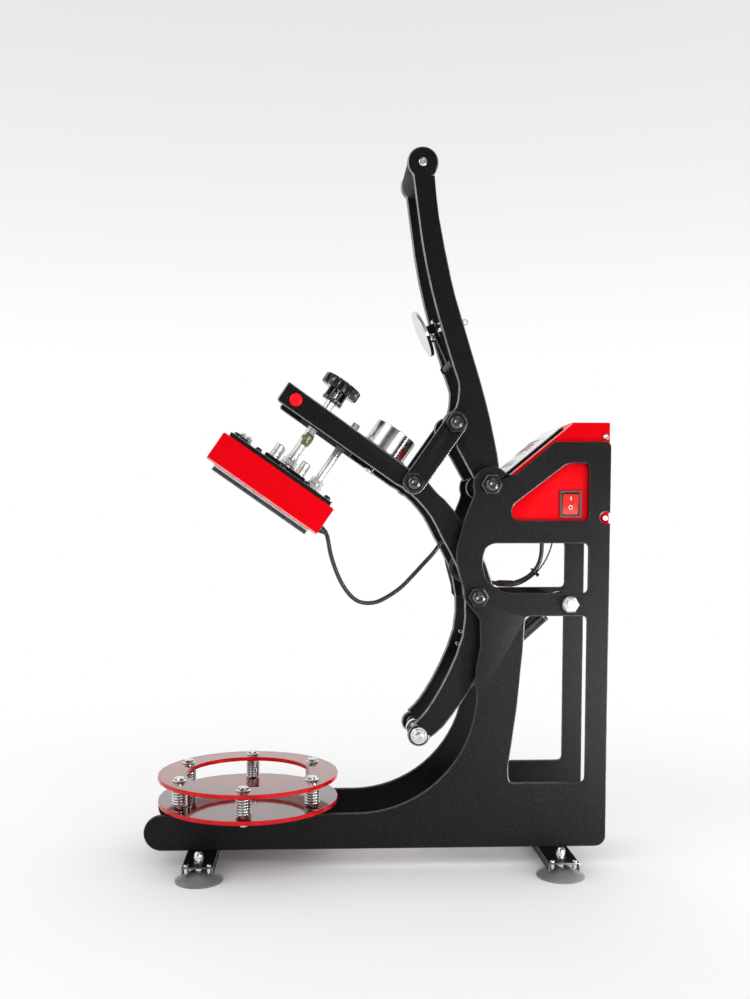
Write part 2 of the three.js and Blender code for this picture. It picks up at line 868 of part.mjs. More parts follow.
// Places from the arm pivot: shares of the link pin's distance ahead of it, and of the tail's length below it
const armInnerShares = [
  [-1.0009, 0.3475], [-0.9277, 0.3541], [-0.801, 0.3402], [-0.6451, 0.2983],
  [-0.4853, 0.2159], [-0.2512, 0.0937],
]
const tailInnerShares = [
  [-0.0511, -0.0642], [0.0751, -0.2676], [0.1396, -0.5187], [0.1637, -0.7347],
  [0.1619, -0.8574], [0.1465, -0.9291],
]
const tailOuterShares = [
  [0.2944, -0.9451], [0.3239, -0.8359], [0.3295, -0.6407], [0.315, -0.4714], [0.2517, -0.2136],
]
const armOuterShares = [
  [0.1516, 0.0357], [-0.0892, 0.2498], [-0.5217, 0.4419], [-0.6976, 0.4751], [-0.8087, 0.5036],
]

function armOutline() {
  const top = armUnderside + armDepth
  const nose = -armReach - armNose
  const ahead = ([x, z]) => at(x * linkPinLength, z * linkPinLength)
  const behind = ([x, z]) => at(x * tailLength, z * tailLength)
  return [
    at(nose + sheet, armUnderside),
    ...smooth([...armInnerShares.map(ahead), ...tailInnerShares.map(behind)], 22),
    ...smooth([...tailOuterShares.map(behind), ...armOuterShares.map(ahead)], 18),
    at(nose, top), at(nose, armUnderside + sheet),
  ]
}

const noseRodAt = at(-armReach - noseRodSetback, armUnderside + armDepth * half)
const armBosses = [[at(0, 0), armHubRadius], [tailPin, tailEndRadius], [linkPinClosed, linkWidth * half]]
const armHoles = [
  [at(0, 0), axleRadius + clearance],
  [tailPin, tieRodRadius + clearance],
  [linkPinClosed, tieRodRadius + clearance],
  [noseRodAt, noseRodRadius + clearance],
]

const barSides = [['right', -barOuter, -barInner], ['left', barInner, barOuter]]

for (const [side, y0, y1] of barSides) {
  add(`arm_plate_${side}`, drilled(armOutline(), armBosses, armHoles, y0, y1), 'powderBlack', arm)
}

const betweenBars = barInner - clearance
const blockTop = armUnderside + armDepth - clearance * 2
const blockFloor = armUnderside + clearance * 2

function spindleBlock() {
  const body = block(
    -armReach - spindleRadius * 3, -armReach + guideSetback + guideRadius * 3,
    -betweenBars, betweenBars, blockFloor, blockTop)
  return cut(
    body,
    barZ(spindleRadius + clearance, -armReach, 0, blockFloor - overrun, blockTop + overrun),
    barZ(guideRadius + clearance, -armReach + guideSetback, 0, blockFloor - overrun, blockTop + overrun))
}

const magnetAt = -armReach + magnetSetback
const armTop = armUnderside + armDepth

function magnetBracket() {
  return block(
    magnetAt - bracketLength * half, magnetAt + bracketLength * half, -betweenBars, betweenBars,
    armTop - bracketThickness, armTop)
}

function noseRod() {
  const reach = barOuter + clearance
  const rod = bothEnds([
    [0, reach + nosePlugHeight], [nosePlugRadius, reach + nosePlugHeight], [nosePlugRadius, reach],
    [noseRodRadius, reach],
  ])
  return rod.translate(noseRodAt.x, 0, noseRodAt.y)
}

const magnetTop = armTop + clearance + magnetHeight

add('spindle_block', spindleBlock(), 'powderBlack', arm)
add('magnet_bracket', magnetBracket(), 'powderBlack', arm)
const magnet = barZ(magnetRadius, magnetAt, 0, armTop + clearance, magnetTop, roundSegments)
add('electromagnet', magnet, 'chrome', arm)
add('nose_rod', noseRod(), 'redPaint', arm)
const tailBolt = crossBolt(tieRodRadius, barOuter + clearance, tieHeadRadius, tailHeadHeight)
add('tail_bolt', tailBolt.translate(tailPin.x, 0, tailPin.y), 'chrome', arm)
const linkSpacer = barY(tieRodRadius, linkPinClosed.x, linkPinClosed.y, -barOuter, barOuter)
add('link_spacer', linkSpacer, 'blackSteel', arm)

// Head, hung from the arm on its spindle and guide rod

const headHalf = headWidth * half
const coverTop = headTopAt - topPlateThickness
const coverFloor = headTopAt - headHeight
const glandAt = coverFloor + glandRadius + headWall * 2

function headCover() {
  const outer = block(
    -armReach - headHalf, -armReach + headHalf, -headHalf, headHalf, coverFloor, coverTop)
  const inner = headHalf - headWall
  const hollow = block(
    -armReach - inner, -armReach + inner, -inner, inner, coverFloor - overrun, coverTop - headWall)
  const gland = new THREE.CylinderGeometry(glandRadius, glandRadius, glandLength + headWall, tinySegments)
  gland.rotateZ(Math.PI * half).translate(-armReach + headHalf + (glandLength - headWall) * half, 0, glandAt)
  return join(cut(outer, hollow), gland)
}

function headTopPlate() {
  const reach = headHalf - topPlateMargin
  return block(-armReach - reach, -armReach + reach, -reach, reach, coverTop + clearance, headTopAt)
}

// The heating plate is dished to the ball's own radius
const dishSteps = 8

function heatingPlate() {
  const reach = heaterWidth * half
  const floor = coverFloor - heaterStandOut
  const blank = block(
    -armReach - reach, -armReach + reach, -reach, reach, floor, coverTop - headWall - clearance)
  const rim = reach - heaterEdge
  const apex = Math.sqrt(ballRadius * ballRadius - rim * rim)
  const profile = [[0, -overrun], [rim, -overrun], [rim, 0]]
  for (let i = 1; i <= dishSteps; i += 1) {
    const r = rim * (1 - i / dishSteps)
    profile.push([r, Math.sqrt(ballRadius * ballRadius - r * r) - apex])
  }
  const dish = turnZ(profile, roundSegments).translate(-armReach, 0, floor)
  return cut(blank, dish)
}

const knobFloor = armTop + knobHeight - knobThickness * half
const hubFloor = knobFloor - knobHubHeight

function spindle() {
  const bottom = headTopAt + clearance
  return turnZ([
    [0, bottom], [spindleCollarRadius, bottom], [spindleCollarRadius, bottom + collarHeight],
    [spindleRadius, bottom + collarHeight], [spindleRadius, hubFloor - clearance], [0, hubFloor - clearance],
  ], smallSegments).translate(-armReach, 0, 0)
}

function fluteOutline() {
  const points = []
  const steps = fluteCount * fluteSteps
  for (let i = 0; i < steps; i += 1) {
    const wave = Math.cos(fluteCount * fullTurn * i / steps)
    points.push(polar(360 * i / steps, knobRadius - fluteDepth * half * (1 - wave)))
  }
  return points
}

function knob() {
  const section = new THREE.Shape(fluteOutline())
  const disc = new THREE.ExtrudeGeometry(section, { depth: knobThickness, bevelEnabled: false })
  disc.translate(0, 0, knobFloor)
  const hub = barZ(knobHubRadius, 0, 0, hubFloor, knobFloor + overrun, cupSegments)
  return join(disc, hub).translate(-armReach, 0, 0)
}

function guideRod() {
  return barZ(guideRadius, -armReach + guideSetback, 0, headTopAt + clearance, armTop + guideRise)
}

add('head_cover', headCover(), 'redPaint', arm)
add('head_top_plate', headTopPlate(), 'powderBlack', arm)
add('heating_plate', heatingPlate(), 'heaterGrey', arm)
add('spindle', spindle(), 'chrome', arm)
add('knob', knob(), 'blackPlastic', arm)
add('guide_rod', guideRod(), 'chrome', arm)

// Lever: two long plates with the grip between their ends. Shares of the lever's reach, from its pivot.

const leverFrontShares = [
  [-0.2427, 0.9444], [-0.2335, 0.8729], [-0.208, 0.7017], [-0.1712, 0.5442], [-0.1177, 0.3687],
  [-0.1035, 0.3279], [-0.0981, 0.2981], [-0.1051, 0.2451], [-0.1282, 0.2102],
]
const leverFootShares = [[-0.1029, 0.1139], [-0.05, 0.0196]]
const leverBackShares = [
  [0.0301, 0.0457], [0.025, 0.0884], [0, 0.2059], [-0.0317, 0.3228], [-0.0914, 0.5152], [-0.1223, 0.6254],
  [-0.1618, 0.8167], [-0.1755, 0.9366],
]

const lever = pivotGroup(leverPivot)
const gripAt = polar(leverAngle, leverLength)

function leverOutline() {
  const sized = ([x, z]) => at(x * leverLength, z * leverLength)
  return [
    ...smooth(leverFrontShares.map(sized), 18), ...leverFootShares.map(sized),
    ...smooth(leverBackShares.map(sized), 14),
  ]
}

const leverBosses = [[at(0, 0), leverFootRadius], [elbow, leverElbowRadius], [gripAt, leverEndRadius]]

// The armature's place: where it has to land on the magnet, taken back to the open pose
const landing = at(magnetAt + armatureLandingLength, magnetTop + clearance)
const landingAt = armPivot.clone().add(landing).sub(leverPivot)
const armaturePin = turned(landingAt.clone().add(at(armatureArmLength, armatureDropHeight)), -leverSwing)
const armatureTurn = armatureSwing - leverSwing
const leverHoles = [
  [at(0, 0), axleRadius + clearance],
  [elbow, tieRodRadius + clearance],
]

for (const [side, y0, y1] of barSides) {
  add(`lever_plate_${side}`, drilled(leverOutline(), leverBosses, leverHoles, y0, y1), 'powderBlack', lever)
}
const grip = barY(gripRadius, gripAt.x, gripAt.y, -betweenBars, betweenBars, gripSegments)
add('grip', grip, 'blackPlastic', lever)

// Armature: a plate on a sprung arm, hung from a rod between the lever plates
const armature = new THREE.Group()
armature.position.set(armaturePin.x, 0, armaturePin.y)
armature.rotation.y = -armatureTurn * degrees
lever.add(armature)

function armatureSolid() {
  const top = -armatureDropHeight + armatureThickness
  const plate = barZ(armatureRadius, -armatureArmLength, 0, -armatureDropHeight, top, eyeSegments)
  const reach = armatureArmWidth * half
  const post = block(
    -armatureArmLength - reach, -armatureArmLength + reach, -reach, reach,
    -armatureDropHeight + armatureThickness * half, armatureArmThickness * half)
  const beam = block(
    -armatureArmLength - reach, 0, -reach, reach, -armatureArmThickness * half, armatureArmThickness * half)
  const rod = barY(armatureRodRadius, 0, 0, -betweenBars, betweenBars, tinySegments)
  return join(plate, post, beam, rod)
}

add('armature', armatureSolid(), 'zinc', armature)

// Elbow bolt through the lever and both links
const elbowBolt = domedAxle(linkOuter + clearance, [[tieRodRadius, linkOuter + clearance]])
add('elbow_bolt', elbowBolt.translate(elbow.x, 0, elbow.y), 'blackSteel', lever)

// Links, each with the domed bolt that pins it to the arm

const links = pivotGroup(elbowAt, linkAngle)

function linkSolid(side) {
  const radius = linkWidth * half
  const outline = [...arc(at(linkLength, 0), radius, -90, 90, 10), ...arc(at(0, 0), radius, 90, 270, 10)]
  const [y0, y1] = side < 0 ? [-linkOuter, -linkInner] : [linkInner, linkOuter]
  const bar = drilled(outline, [], [[at(0, 0), tieRodRadius + clearance]], y0, y1)
  const dome = turnY([
    [0, domeHeight + sheet * half], ...linkDomeShares.map(([out, up]) => [domeRadius * out, domeHeight * up]),
    [domeRadius, 0], [0, 0],
  ], cupSegments)
  if (side < 0) dome.rotateZ(Math.PI)
  const seat = linkOuter - sheet * half
  return join(bar, dome.translate(linkLength, side * seat, 0))
}

add('link_right', linkSolid(-1), 'powderBlack', links)
add('link_left', linkSolid(1), 'powderBlack', links)

// Gas spring: its own X runs from the tie bolt to the arm's tail

const gas = pivotGroup(springPivot, springAngle)

function eye(x, holeRadius) {
  const ring = barY(springEyeRadius, x, 0, -springEyeThickness * half, springEyeThickness * half, eyeSegments)
  return cut(ring, barY(holeRadius, x, 0, -springEyeThickness, springEyeThickness, smallSegments))
}

function barX(radius, x0, x1, segments = smallSegments) {
  const bar = new THREE.CylinderGeometry(radius, radius, x1 - x0, segments)
  return bar.rotateZ(Math.PI * half).translate((x0 + x1) * half, 0, 0)
}

const cylinderEnd = springNeck + cylinderLength
const eyeOverlap = springEyeRadius - sheet

function gasCylinder() {
  const bore = barX(rodRadius + clearance, springNeck + sheet * 2, cylinderEnd + overrun)
  const body = cut(barX(cylinderRadius, springNeck, cylinderEnd, eyeSegments), bore)
  const stub = barX(rodRadius, eyeOverlap, springNeck + sheet, tinySegments)
  return join(body, stub, eye(0, tieRodRadius + clearance))
}

function gasRod() {
  const hidden = springNeck + cylinderLength * rodHiddenShare
  const rod = barX(rodRadius, hidden, springLength - eyeOverlap, tinySegments)
  return join(rod, eye(springLength, tieRodRadius + springPlay))
}

add('gas_cylinder', gasCylinder(), 'blackSteel', gas)
add('gas_rod', gasRod(), 'chrome', gas)

// Cords: the heater lead, first in the open from the head to the arm, then behind the plates to the box

const headCordRoute = [
  [-60.6, 0, 389.4], [-58.2, 0, 387.6], [-56.1, 0, 383.6], [-54.4, 0, 376], [-51.8, 1, 362],
  [-46.5, 2, 344.8], [-40.4, 4, 330.2], [-33.1, 6, 318], [-25.8, 8, 309.4], [-17.3, 10, 303.7],
  [-7.4, 12, 301.7], [3.6, 14, 302.7], [14.7, 15, 307.5], [33.1, 17, 319.5], [48, 19, 334.1],
  [62.7, 20, 349.9], [73.8, 21, 361.8], [82.8, 22, 373.2], [86.6, 22, 376.1], [91, 22, 377],
  [96.2, 22, 375.7], [100.2, 22, 372], [102, 22, 366.6], [101.3, 22, 360.5], [98.9, 22, 354.6],
  [96.6, 22, 349.3], [95.8, 22, 344], [96.7, 22, 339.2], [98.4, 22, 336.36], [100, 22, 335],
]
const boxCordRoute = [
  [100, 22, 335], [104, 22, 331.6], [110, 22, 328.2], [118, 22, 326.8], [129.6, 22, 326.4],
  [145.5, 22, 325.7], [159.9, 22, 324.6], [176.4, 22, 326.2], [192.9, 22, 334.3],
  [202.5, 21, 345.5], [206.6, 20, 358.6],
  [207.5, 20, 373.3], [207.5, 20, 392],
]

function cordTube(route) {
  const points = route.map(([x, y, z]) => new THREE.Vector3(x, y, z))
  const path = new THREE.CatmullRomCurve3(points, false, 'centripetal')
  const steps = Math.round(path.getLength() / (cordRadius * 2 * cordStep))
  const section = new THREE.Shape(arc(at(0, 0), cordRadius, 0, 360 - 360 / cordSides, cordSides - 1))
  return new THREE.ExtrudeGeometry(section, { steps, extrudePath: path, bevelEnabled: false })
}

add('heater_cord_head', cordTube(headCordRoute), 'cordBlack')
add('heater_cord_box', cordTube(boxCordRoute), 'cordBlack')

export default press
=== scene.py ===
"""Looks of a ball heat press: plates, printing head, ball table, control box, lever, springs and leads."""

import logging
import math
from dataclasses import dataclass
from enum import Enum
from typing import Callable, Sequence

import bmesh
import bpy
from mathutils import Matrix, Vector
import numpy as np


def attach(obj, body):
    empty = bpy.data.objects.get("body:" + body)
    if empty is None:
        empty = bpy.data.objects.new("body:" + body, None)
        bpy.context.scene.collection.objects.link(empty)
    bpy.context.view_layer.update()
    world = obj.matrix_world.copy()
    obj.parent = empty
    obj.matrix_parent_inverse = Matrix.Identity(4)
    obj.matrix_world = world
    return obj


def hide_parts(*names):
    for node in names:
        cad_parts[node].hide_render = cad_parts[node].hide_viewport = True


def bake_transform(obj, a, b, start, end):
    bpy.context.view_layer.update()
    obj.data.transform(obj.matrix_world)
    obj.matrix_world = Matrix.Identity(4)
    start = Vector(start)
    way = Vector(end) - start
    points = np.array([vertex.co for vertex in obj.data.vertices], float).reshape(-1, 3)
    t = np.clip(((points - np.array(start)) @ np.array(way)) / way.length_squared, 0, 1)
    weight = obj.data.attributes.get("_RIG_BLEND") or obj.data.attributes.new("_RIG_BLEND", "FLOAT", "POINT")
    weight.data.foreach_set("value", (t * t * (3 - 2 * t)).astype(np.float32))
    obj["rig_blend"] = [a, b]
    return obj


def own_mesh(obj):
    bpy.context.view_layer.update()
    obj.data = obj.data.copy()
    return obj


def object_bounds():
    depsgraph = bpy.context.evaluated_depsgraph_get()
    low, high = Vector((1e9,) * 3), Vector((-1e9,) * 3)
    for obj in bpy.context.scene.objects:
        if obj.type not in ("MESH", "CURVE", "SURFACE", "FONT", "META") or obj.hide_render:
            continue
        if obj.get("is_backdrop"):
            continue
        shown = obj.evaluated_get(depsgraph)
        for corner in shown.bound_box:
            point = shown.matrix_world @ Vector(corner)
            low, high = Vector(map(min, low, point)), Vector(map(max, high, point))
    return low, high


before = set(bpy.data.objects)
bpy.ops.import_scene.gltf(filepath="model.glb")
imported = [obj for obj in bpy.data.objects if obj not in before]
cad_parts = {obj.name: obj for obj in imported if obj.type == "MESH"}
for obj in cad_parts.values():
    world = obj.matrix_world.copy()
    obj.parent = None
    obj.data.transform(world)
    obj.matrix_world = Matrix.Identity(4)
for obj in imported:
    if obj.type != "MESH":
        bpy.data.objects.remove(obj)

LOG = logging.getLogger("heat_press")
MM = 0.001
MERGE = 1e-6
SHARP = math.radians(40)
# Degrees below which edges are shaded smooth, on flat-sided pieces and on soft round ones.
FLAT, ROUND = 20, 60
Piece = bpy.types.Object
Socket = bpy.types.NodeSocket
Point = tuple[float, float, float]
Profile = Sequence[Sequence[float]]
Colour = tuple[float, float, float]
FaceTest = Callable[[Vector, Vector], bool]
EdgeTest = Callable[[Vector], bool]


class Body(str, Enum):
    """The moving bodies that the pieces ride on."""

    BASE = "base"
    RING = "ring"
    ARM = "arm"
    HEAD = "head"
    SCREW = "screw"
    LEVER = "lever"
    ARMATURE = "armature"
    LINKS = "links"
    GAS_CYLINDER = "gas_cylinder"
    GAS_ROD = "gas_rod"
    ROCKER = "rocker"
    KEY_1 = "key_1"
    KEY_2 = "key_2"
    KEY_3 = "key_3"


class Side(Enum):
    """The two sides of the press, as the sign of Y."""

    RIGHT = -1
    LEFT = 1


# Places


def turned_frame(x: float, z: float, degrees: float) -> Matrix:
    """A frame at a place in the side view, turned anticlockwise as the front camera sees it.

    Args:
        x: place along the press, in millimetres.
        z: height in millimetres.
        degrees: the turn of the frame's X.

    Returns:
        The matrix from the frame, in metres, to the press.
    """
    cos, sin = math.cos(math.radians(degrees)), math.sin(math.radians(degrees))
    rows = ((cos, 0, -sin, x * MM), (0, 1, 0, 0), (sin, 0, cos, z * MM), (0, 0, 0, 1))
    return Matrix(rows)


def axis_frame(origin: Point, axis: Point, across: Point = (1, 0, 0)) -> Matrix:
    """A frame at a point whose Z lies along an axis.

    Args:
        origin: the point, in millimetres.
        axis: direction of the frame's Z.
        across: a direction that the frame's X leans to.

    Returns:
        The matrix from the frame, in metres, to the one that holds the point.
    """
    z = Vector(axis).normalized()
    x = Vector(across) - Vector(across).dot(z) * z
    x.normalize()
    made = Matrix((x, z.cross(x), z)).transposed().to_4x4()
    made.translation = Vector(origin) * MM
    return made


def outward(x: float, z: float, y: float, side: Side) -> Matrix:
    """A frame on a side of the press, Z outwards; y is its distance from the middle, in millimetres."""
    return axis_frame((x, side.value * y, z), (0, side.value, 0))


def shifted(x: float = 0.0, y: float = 0.0, z: float = 0.0) -> Matrix:
    """A move, in millimetres."""
    return Matrix.Translation((x * MM, y * MM, z * MM))


def about_z(angle: float) -> Matrix:
    """A turn about Z, in radians."""
    return Matrix.Rotation(angle, 4, "Z")


ARM_PIVOT = (117.0, 313.5)
LEVER_PIVOT = (131.5, 442.5)
TIE_BOLT = (223.6, 305.1)
ROCKER_TILT = math.radians(9)

ARM = turned_frame(*ARM_PIVOT, -35.0)
SLOPE = turned_frame(150.0, 452.4, 39.4)
ARMATURE = turned_frame(89.415, 586.084, -65.3)
GAS = turned_frame(*TIE_BOLT, 221.76)
ROCKER = shifted(223.6, -51.7, 420.6) @ Matrix.Rotation(ROCKER_TILT, 4, "X")


# Modelling


@dataclass(frozen=True)
class Ring:
    """One ring of a turned shape, in millimetres: round, with flat sides, or fluted."""

    radius: float
    height: float
    sides: int = 0
    flutes: int = 0
    depth: float = 0.0

    def reach(self, angle: float) -> float:
        """Distance from the axis at an angle, in millimetres.

        Args:
            angle: angle round the axis, in radians.

        Returns:
            The reach of the outline there.
        """
        if self.sides:
            step = math.tau / self.sides
            return self.radius * math.cos(step / 2) / math.cos(angle % step - step / 2)
        if self.flutes:
            return self.radius - self.depth * (0.5 - 0.5 * math.cos(self.flutes * angle)) ** 1.8
        return self.radius


class Bench:
    """The modelling tools: thin layers over Blender's own operators."""

    @staticmethod
    def clear() -> None:
        """Leaves edit mode with nothing selected."""
        if bpy.context.mode != "OBJECT":
            bpy.ops.object.mode_set(mode="OBJECT")
        bpy.ops.object.select_all(action="DESELECT")

    @classmethod
    def pick(cls, piece: Piece) -> None:
        """Selects one piece and makes it the active one.

        Args:
            piece: the piece.
        """
        cls.clear()
        piece.select_set(True)
        bpy.context.view_layer.objects.active = piece

    @classmethod
    def edit(cls, piece: Piece, mode: str = "FACE") -> None:
        """Opens a piece in edit mode with all of it selected.

        Args:
            piece: the piece.
            mode: VERT, EDGE or FACE.
        """
        cls.pick(piece)
        bpy.ops.object.mode_set(mode="EDIT")
        bpy.ops.mesh.select_mode(type=mode)
        bpy.ops.mesh.select_all(action="SELECT")

    @staticmethod
    def choose(piece: Piece, test: FaceTest) -> None:
        """Selects the faces that pass a test of their middle, in millimetres, and their normal.

        Args:
            piece: the piece, open in edit mode.
            test: says whether a face is chosen.
        """
        bpy.ops.mesh.select_mode(type="FACE")
        bpy.ops.mesh.select_all(action="DESELECT")
        mesh = bmesh.from_edit_mesh(piece.data)
        for face in mesh.faces:
            if test(face.calc_center_median() / MM, face.normal):
                face.select_set(True)
        bmesh.update_edit_mesh(piece.data)

    @staticmethod
    def outwards() -> None:
        """Merges doubles and turns all faces of the open piece outwards."""
        bpy.ops.mesh.select_all(action="SELECT")
        bpy.ops.mesh.remove_doubles(threshold=MERGE)
        bpy.ops.mesh.normals_make_consistent(inside=False)

    @staticmethod
    def _shape(piece: Piece, ring: Ring) -> None:
        """Gives the selected ring of points its outline.

        Args:
            piece: the piece, open in edit mode.
            ring: the ring that the points take.
        """
        mesh = bmesh.from_edit_mesh(piece.data)
        for point in (v for v in mesh.verts if v.select):
            angle = math.atan2(point.co.y, point.co.x)
            reach = ring.reach(angle) * MM
            point.co.x, point.co.y = reach * math.cos(angle), reach * math.sin(angle)
        bmesh.update_edit_mesh(piece.data)

    @classmethod
    def turned(cls, name: str, profile: Profile, steps: int = 40, hollow: bool = False) -> Piece:
        """A circle drawn out along Z ring by ring.

        Args:
            name: the piece's name.
            profile: for each ring its radius and height, and its sides, flutes and depth where it has them.
            steps: corners of each ring.
            hollow: closes the last ring onto the first, for a washer or a sleeve.

        Returns:
            The closed piece.
        """
        cls.clear()
        outline = [Ring(*place) for place in profile]
        first = outline[0]
        bpy.ops.mesh.primitive_circle_add(
            vertices=steps, radius=first.radius * MM, fill_type="NOTHING" if hollow else "NGON"
        )
        piece = bpy.context.object
        piece.name = name
        cls.edit(piece, "VERT")
        bpy.ops.transform.translate(value=(0, 0, first.height * MM))
        cls._shape(piece, first)
        for last, ring in zip(outline, [*outline[1:], first] if hollow else outline[1:]):
            rise = (ring.height - last.height) * MM
            bpy.ops.mesh.extrude_region_move(TRANSFORM_OT_translate={"value": (0, 0, rise)})
            cls._shape(piece, ring)
        cls.outwards()
        cls.clear()
        return piece

    @classmethod
    def block(cls, name: str, low: Point, high: Point, bevel: float = 0.5, segments: int = 2) -> Piece:
        """A bar with eased edges between two corners.

        Args:
            name: the piece's name.
            low: lowest corner, in millimetres.
            high: highest corner.
            bevel: width of the eased edge.
            segments: steps of the eased edge.

        Returns:
            The piece.
        """
        cls.clear()
        bpy.ops.mesh.primitive_cube_add(size=MM)
        piece = bpy.context.object
        piece.name = name
        cls.edit(piece)
        size = [b - a for a, b in zip(low, high)]
        centre = [(a + b) / 2 * MM for a, b in zip(low, high)]
        bpy.ops.transform.resize(value=size, center_override=(0, 0, 0))
        bpy.ops.transform.translate(value=centre)
        bpy.ops.mesh.bevel(offset=bevel * MM, segments=segments, affect="EDGES")
        cls.clear()
        return piece

    @classmethod
    def rim(cls, name: str, low: Point, high: Point, width: float) -> Piece:
        """A flat open frame: a bar inset from both sides and bridged through.

        Args:
            name: the piece's name.
            low: lowest corner, in millimetres.
            high: highest corner.
            width: width of the frame's sides.

        Returns:
            The piece.
        """
        piece = cls.block(name, low, high, 0.3)
        middle = (low[0] + high[0]) / 2
        cls.edit(piece)
        cls.choose(piece, lambda c, n: abs(n.z) > 0.9 and abs(c.x - middle) < 10)
        bpy.ops.mesh.inset(thickness=width * MM)
        bpy.ops.mesh.bridge_edge_loops()
        cls.clear()
        return piece

    @classmethod
    def tube(
        cls, name: str, path: Sequence[Vector], radius: float, sides: int = 4, cyclic: bool = False
    ) -> Piece:
        """A round wire along a path, made a mesh.

        Args:
            name: the piece's name.
            path: points in metres.
            radius: the wire's radius, in millimetres.
            sides: quarter-circle resolution of the wire.
            cyclic: closes the wire onto itself.

        Returns:
            The mesh piece, closed at its ends.
        """
        cls.clear()
        curve = bpy.data.curves.new(name, "CURVE")
        curve.dimensions = "3D"
        curve.bevel_depth, curve.bevel_resolution = radius * MM, sides
        curve.use_fill_caps = True
        line = curve.splines.new("POLY")
        line.points.add(len(path) - 1)
        for point, place in zip(line.points, path):
            point.co = (*place, 1.0)
        line.use_cyclic_u = cyclic
        piece = bpy.data.objects.new(name, curve)
        bpy.context.collection.objects.link(piece)
        cls.pick(piece)
        bpy.ops.object.convert(target="MESH")
        piece = bpy.context.object
        cls.edit(piece)
        cls.outwards()
        cls.clear()
        return piece

    @classmethod
    def hoop(cls, name: str, centre: Point, radius: float, wire: float) -> Piece:
        """A closed round wire that faces the front camera.

        Args:
            name: the piece's name.
            centre: its middle, in millimetres.
            radius: radius of the hoop.
            wire: radius of the wire.

        Returns:
            The piece.
        """
        x, y, z = centre
        steps = 28
        turns = [math.tau * i / steps for i in range(steps)]
        path = [Vector((x + radius * math.cos(a), y, z + radius * math.sin(a))) * MM for a in turns]
        return cls.tube(name, path, wire, 2, True)

    @classmethod
    def copied(cls, node: str, name: str) -> Piece:
        """A merged copy of a CAD node with its flat faces made whole.

        Args:
            node: the CAD node.
            name: the copy's name.

        Returns:
            The copy.
        """
        piece = bpy.data.objects.new(name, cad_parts[node].data.copy())
        piece.data.materials.clear()
        bpy.context.collection.objects.link(piece)
        cls.edit(piece)
        bpy.ops.mesh.remove_doubles(threshold=MERGE)
        bpy.ops.mesh.dissolve_limited(angle_limit=math.radians(0.6))
        cls.clear()
        for attribute in [a for a in piece.data.attributes if a.name == "custom_normal"]:
            piece.data.attributes.remove(attribute)
        return piece

    @classmethod
    def eased(cls, piece: Piece, width: float, slot: int = 0, spared: EdgeTest | None = None) -> None:
        """Rounds the sharp edges with a bevel of two steps.

        Args:
            piece: the piece.
            width: the bevel's width, in millimetres.
            slot: material slot of the new faces.
            spared: says where an edge is rounded less, from its middle in millimetres.
        """
        cls.pick(piece)
        while len(piece.data.materials) <= slot:
            piece.data.materials.append(None)
        bevel = piece.modifiers.new("ease", "BEVEL")
        bevel.width, bevel.segments, bevel.material = width * MM, 2, slot
        bevel.limit_method, bevel.angle_limit = "ANGLE", SHARP
        bevel.use_clamp_overlap = False
        if spared:
            cls._weigh(piece, spared)
            bevel.limit_method = "WEIGHT"
        bpy.ops.object.modifier_apply(modifier=bevel.name)

    @staticmethod
    def _weigh(piece: Piece, spared: EdgeTest) -> None:
        """Weighs the sharp edges for the bevel: in full, or a fifth where they are spared.

        Args:
            piece: the piece.
            spared: says where an edge is spared.
        """
        mesh = bmesh.new()
        mesh.from_mesh(piece.data)
        weight = mesh.edges.layers.float.new("bevel_weight_edge")
        for edge in mesh.edges:
            if len(edge.link_faces) == 2 and edge.calc_face_angle() > SHARP:
                middle = (edge.verts[0].co + edge.verts[1].co) / 2 / MM
                edge[weight] = 0.2 if spared(middle) else 1.0
        mesh.to_mesh(piece.data)
        mesh.free()

    @classmethod
    def smooth(cls, piece: Piece, degrees: float) -> None:
        """Smooths the shading across edges below an angle."""
        cls.pick(piece)
        bpy.ops.object.shade_smooth_by_angle(angle=math.radians(degrees))

    @staticmethod
    def copy(piece: Piece, name: str, place: Matrix) -> Piece:
        """A copy with a mesh of its own.

        Args:
            piece: the piece to copy.
            name: the copy's name.
            place: moves the copy.

        Returns:
            The copy.
        """
        made = bpy.data.objects.new(name, piece.data.copy())
        bpy.context.collection.objects.link(made)
        made.data.transform(place)
        return made

    @classmethod
    def joined(cls, pieces: Sequence[Piece], name: str) -> Piece:
        """Joins pieces into the first one.

        Args:
            pieces: the pieces.
            name: the name of what is made.

        Returns:
            The first piece, which holds them all.
        """
        cls.clear()
        for piece in pieces:
            piece.select_set(True)
        bpy.context.view_layer.objects.active = pieces[0]
        bpy.ops.object.join()
        pieces[0].name = name
        return pieces[0]

    @staticmethod
    def remove(piece: Piece) -> None:
        """Takes a pattern piece away once it is copied."""
        bpy.data.objects.remove(piece)


def slotted(piece: Piece, slot: int, test: FaceTest, place: Matrix = Matrix()) -> None:
    """Puts faces into a material slot.

    Args:
        piece: the piece.
        slot: the slot.
        test: tries a face's middle, in millimetres, and its normal.
        place: the frame on whose axes they are tried.
    """
    inverse = place.inverted()
    turn = inverse.to_3x3()
    for face in piece.data.polygons:
        if test(inverse @ face.center / MM, turn @ face.normal):
            face.material_index = slot


def painted(piece: Piece, *finishes: "Finish") -> Piece:
    """Gives a piece its finishes and keeps each face's slot.

    Args:
        piece: the piece.
        finishes: one to a material slot.

    Returns:
        The piece.
    """
    slots = [min(face.material_index, len(finishes) - 1) for face in piece.data.polygons]
    piece.data.materials.clear()
    for finish in finishes:
        piece.data.materials.append(finish.material())
    piece.data.polygons.foreach_set("material_index", slots)
    return piece


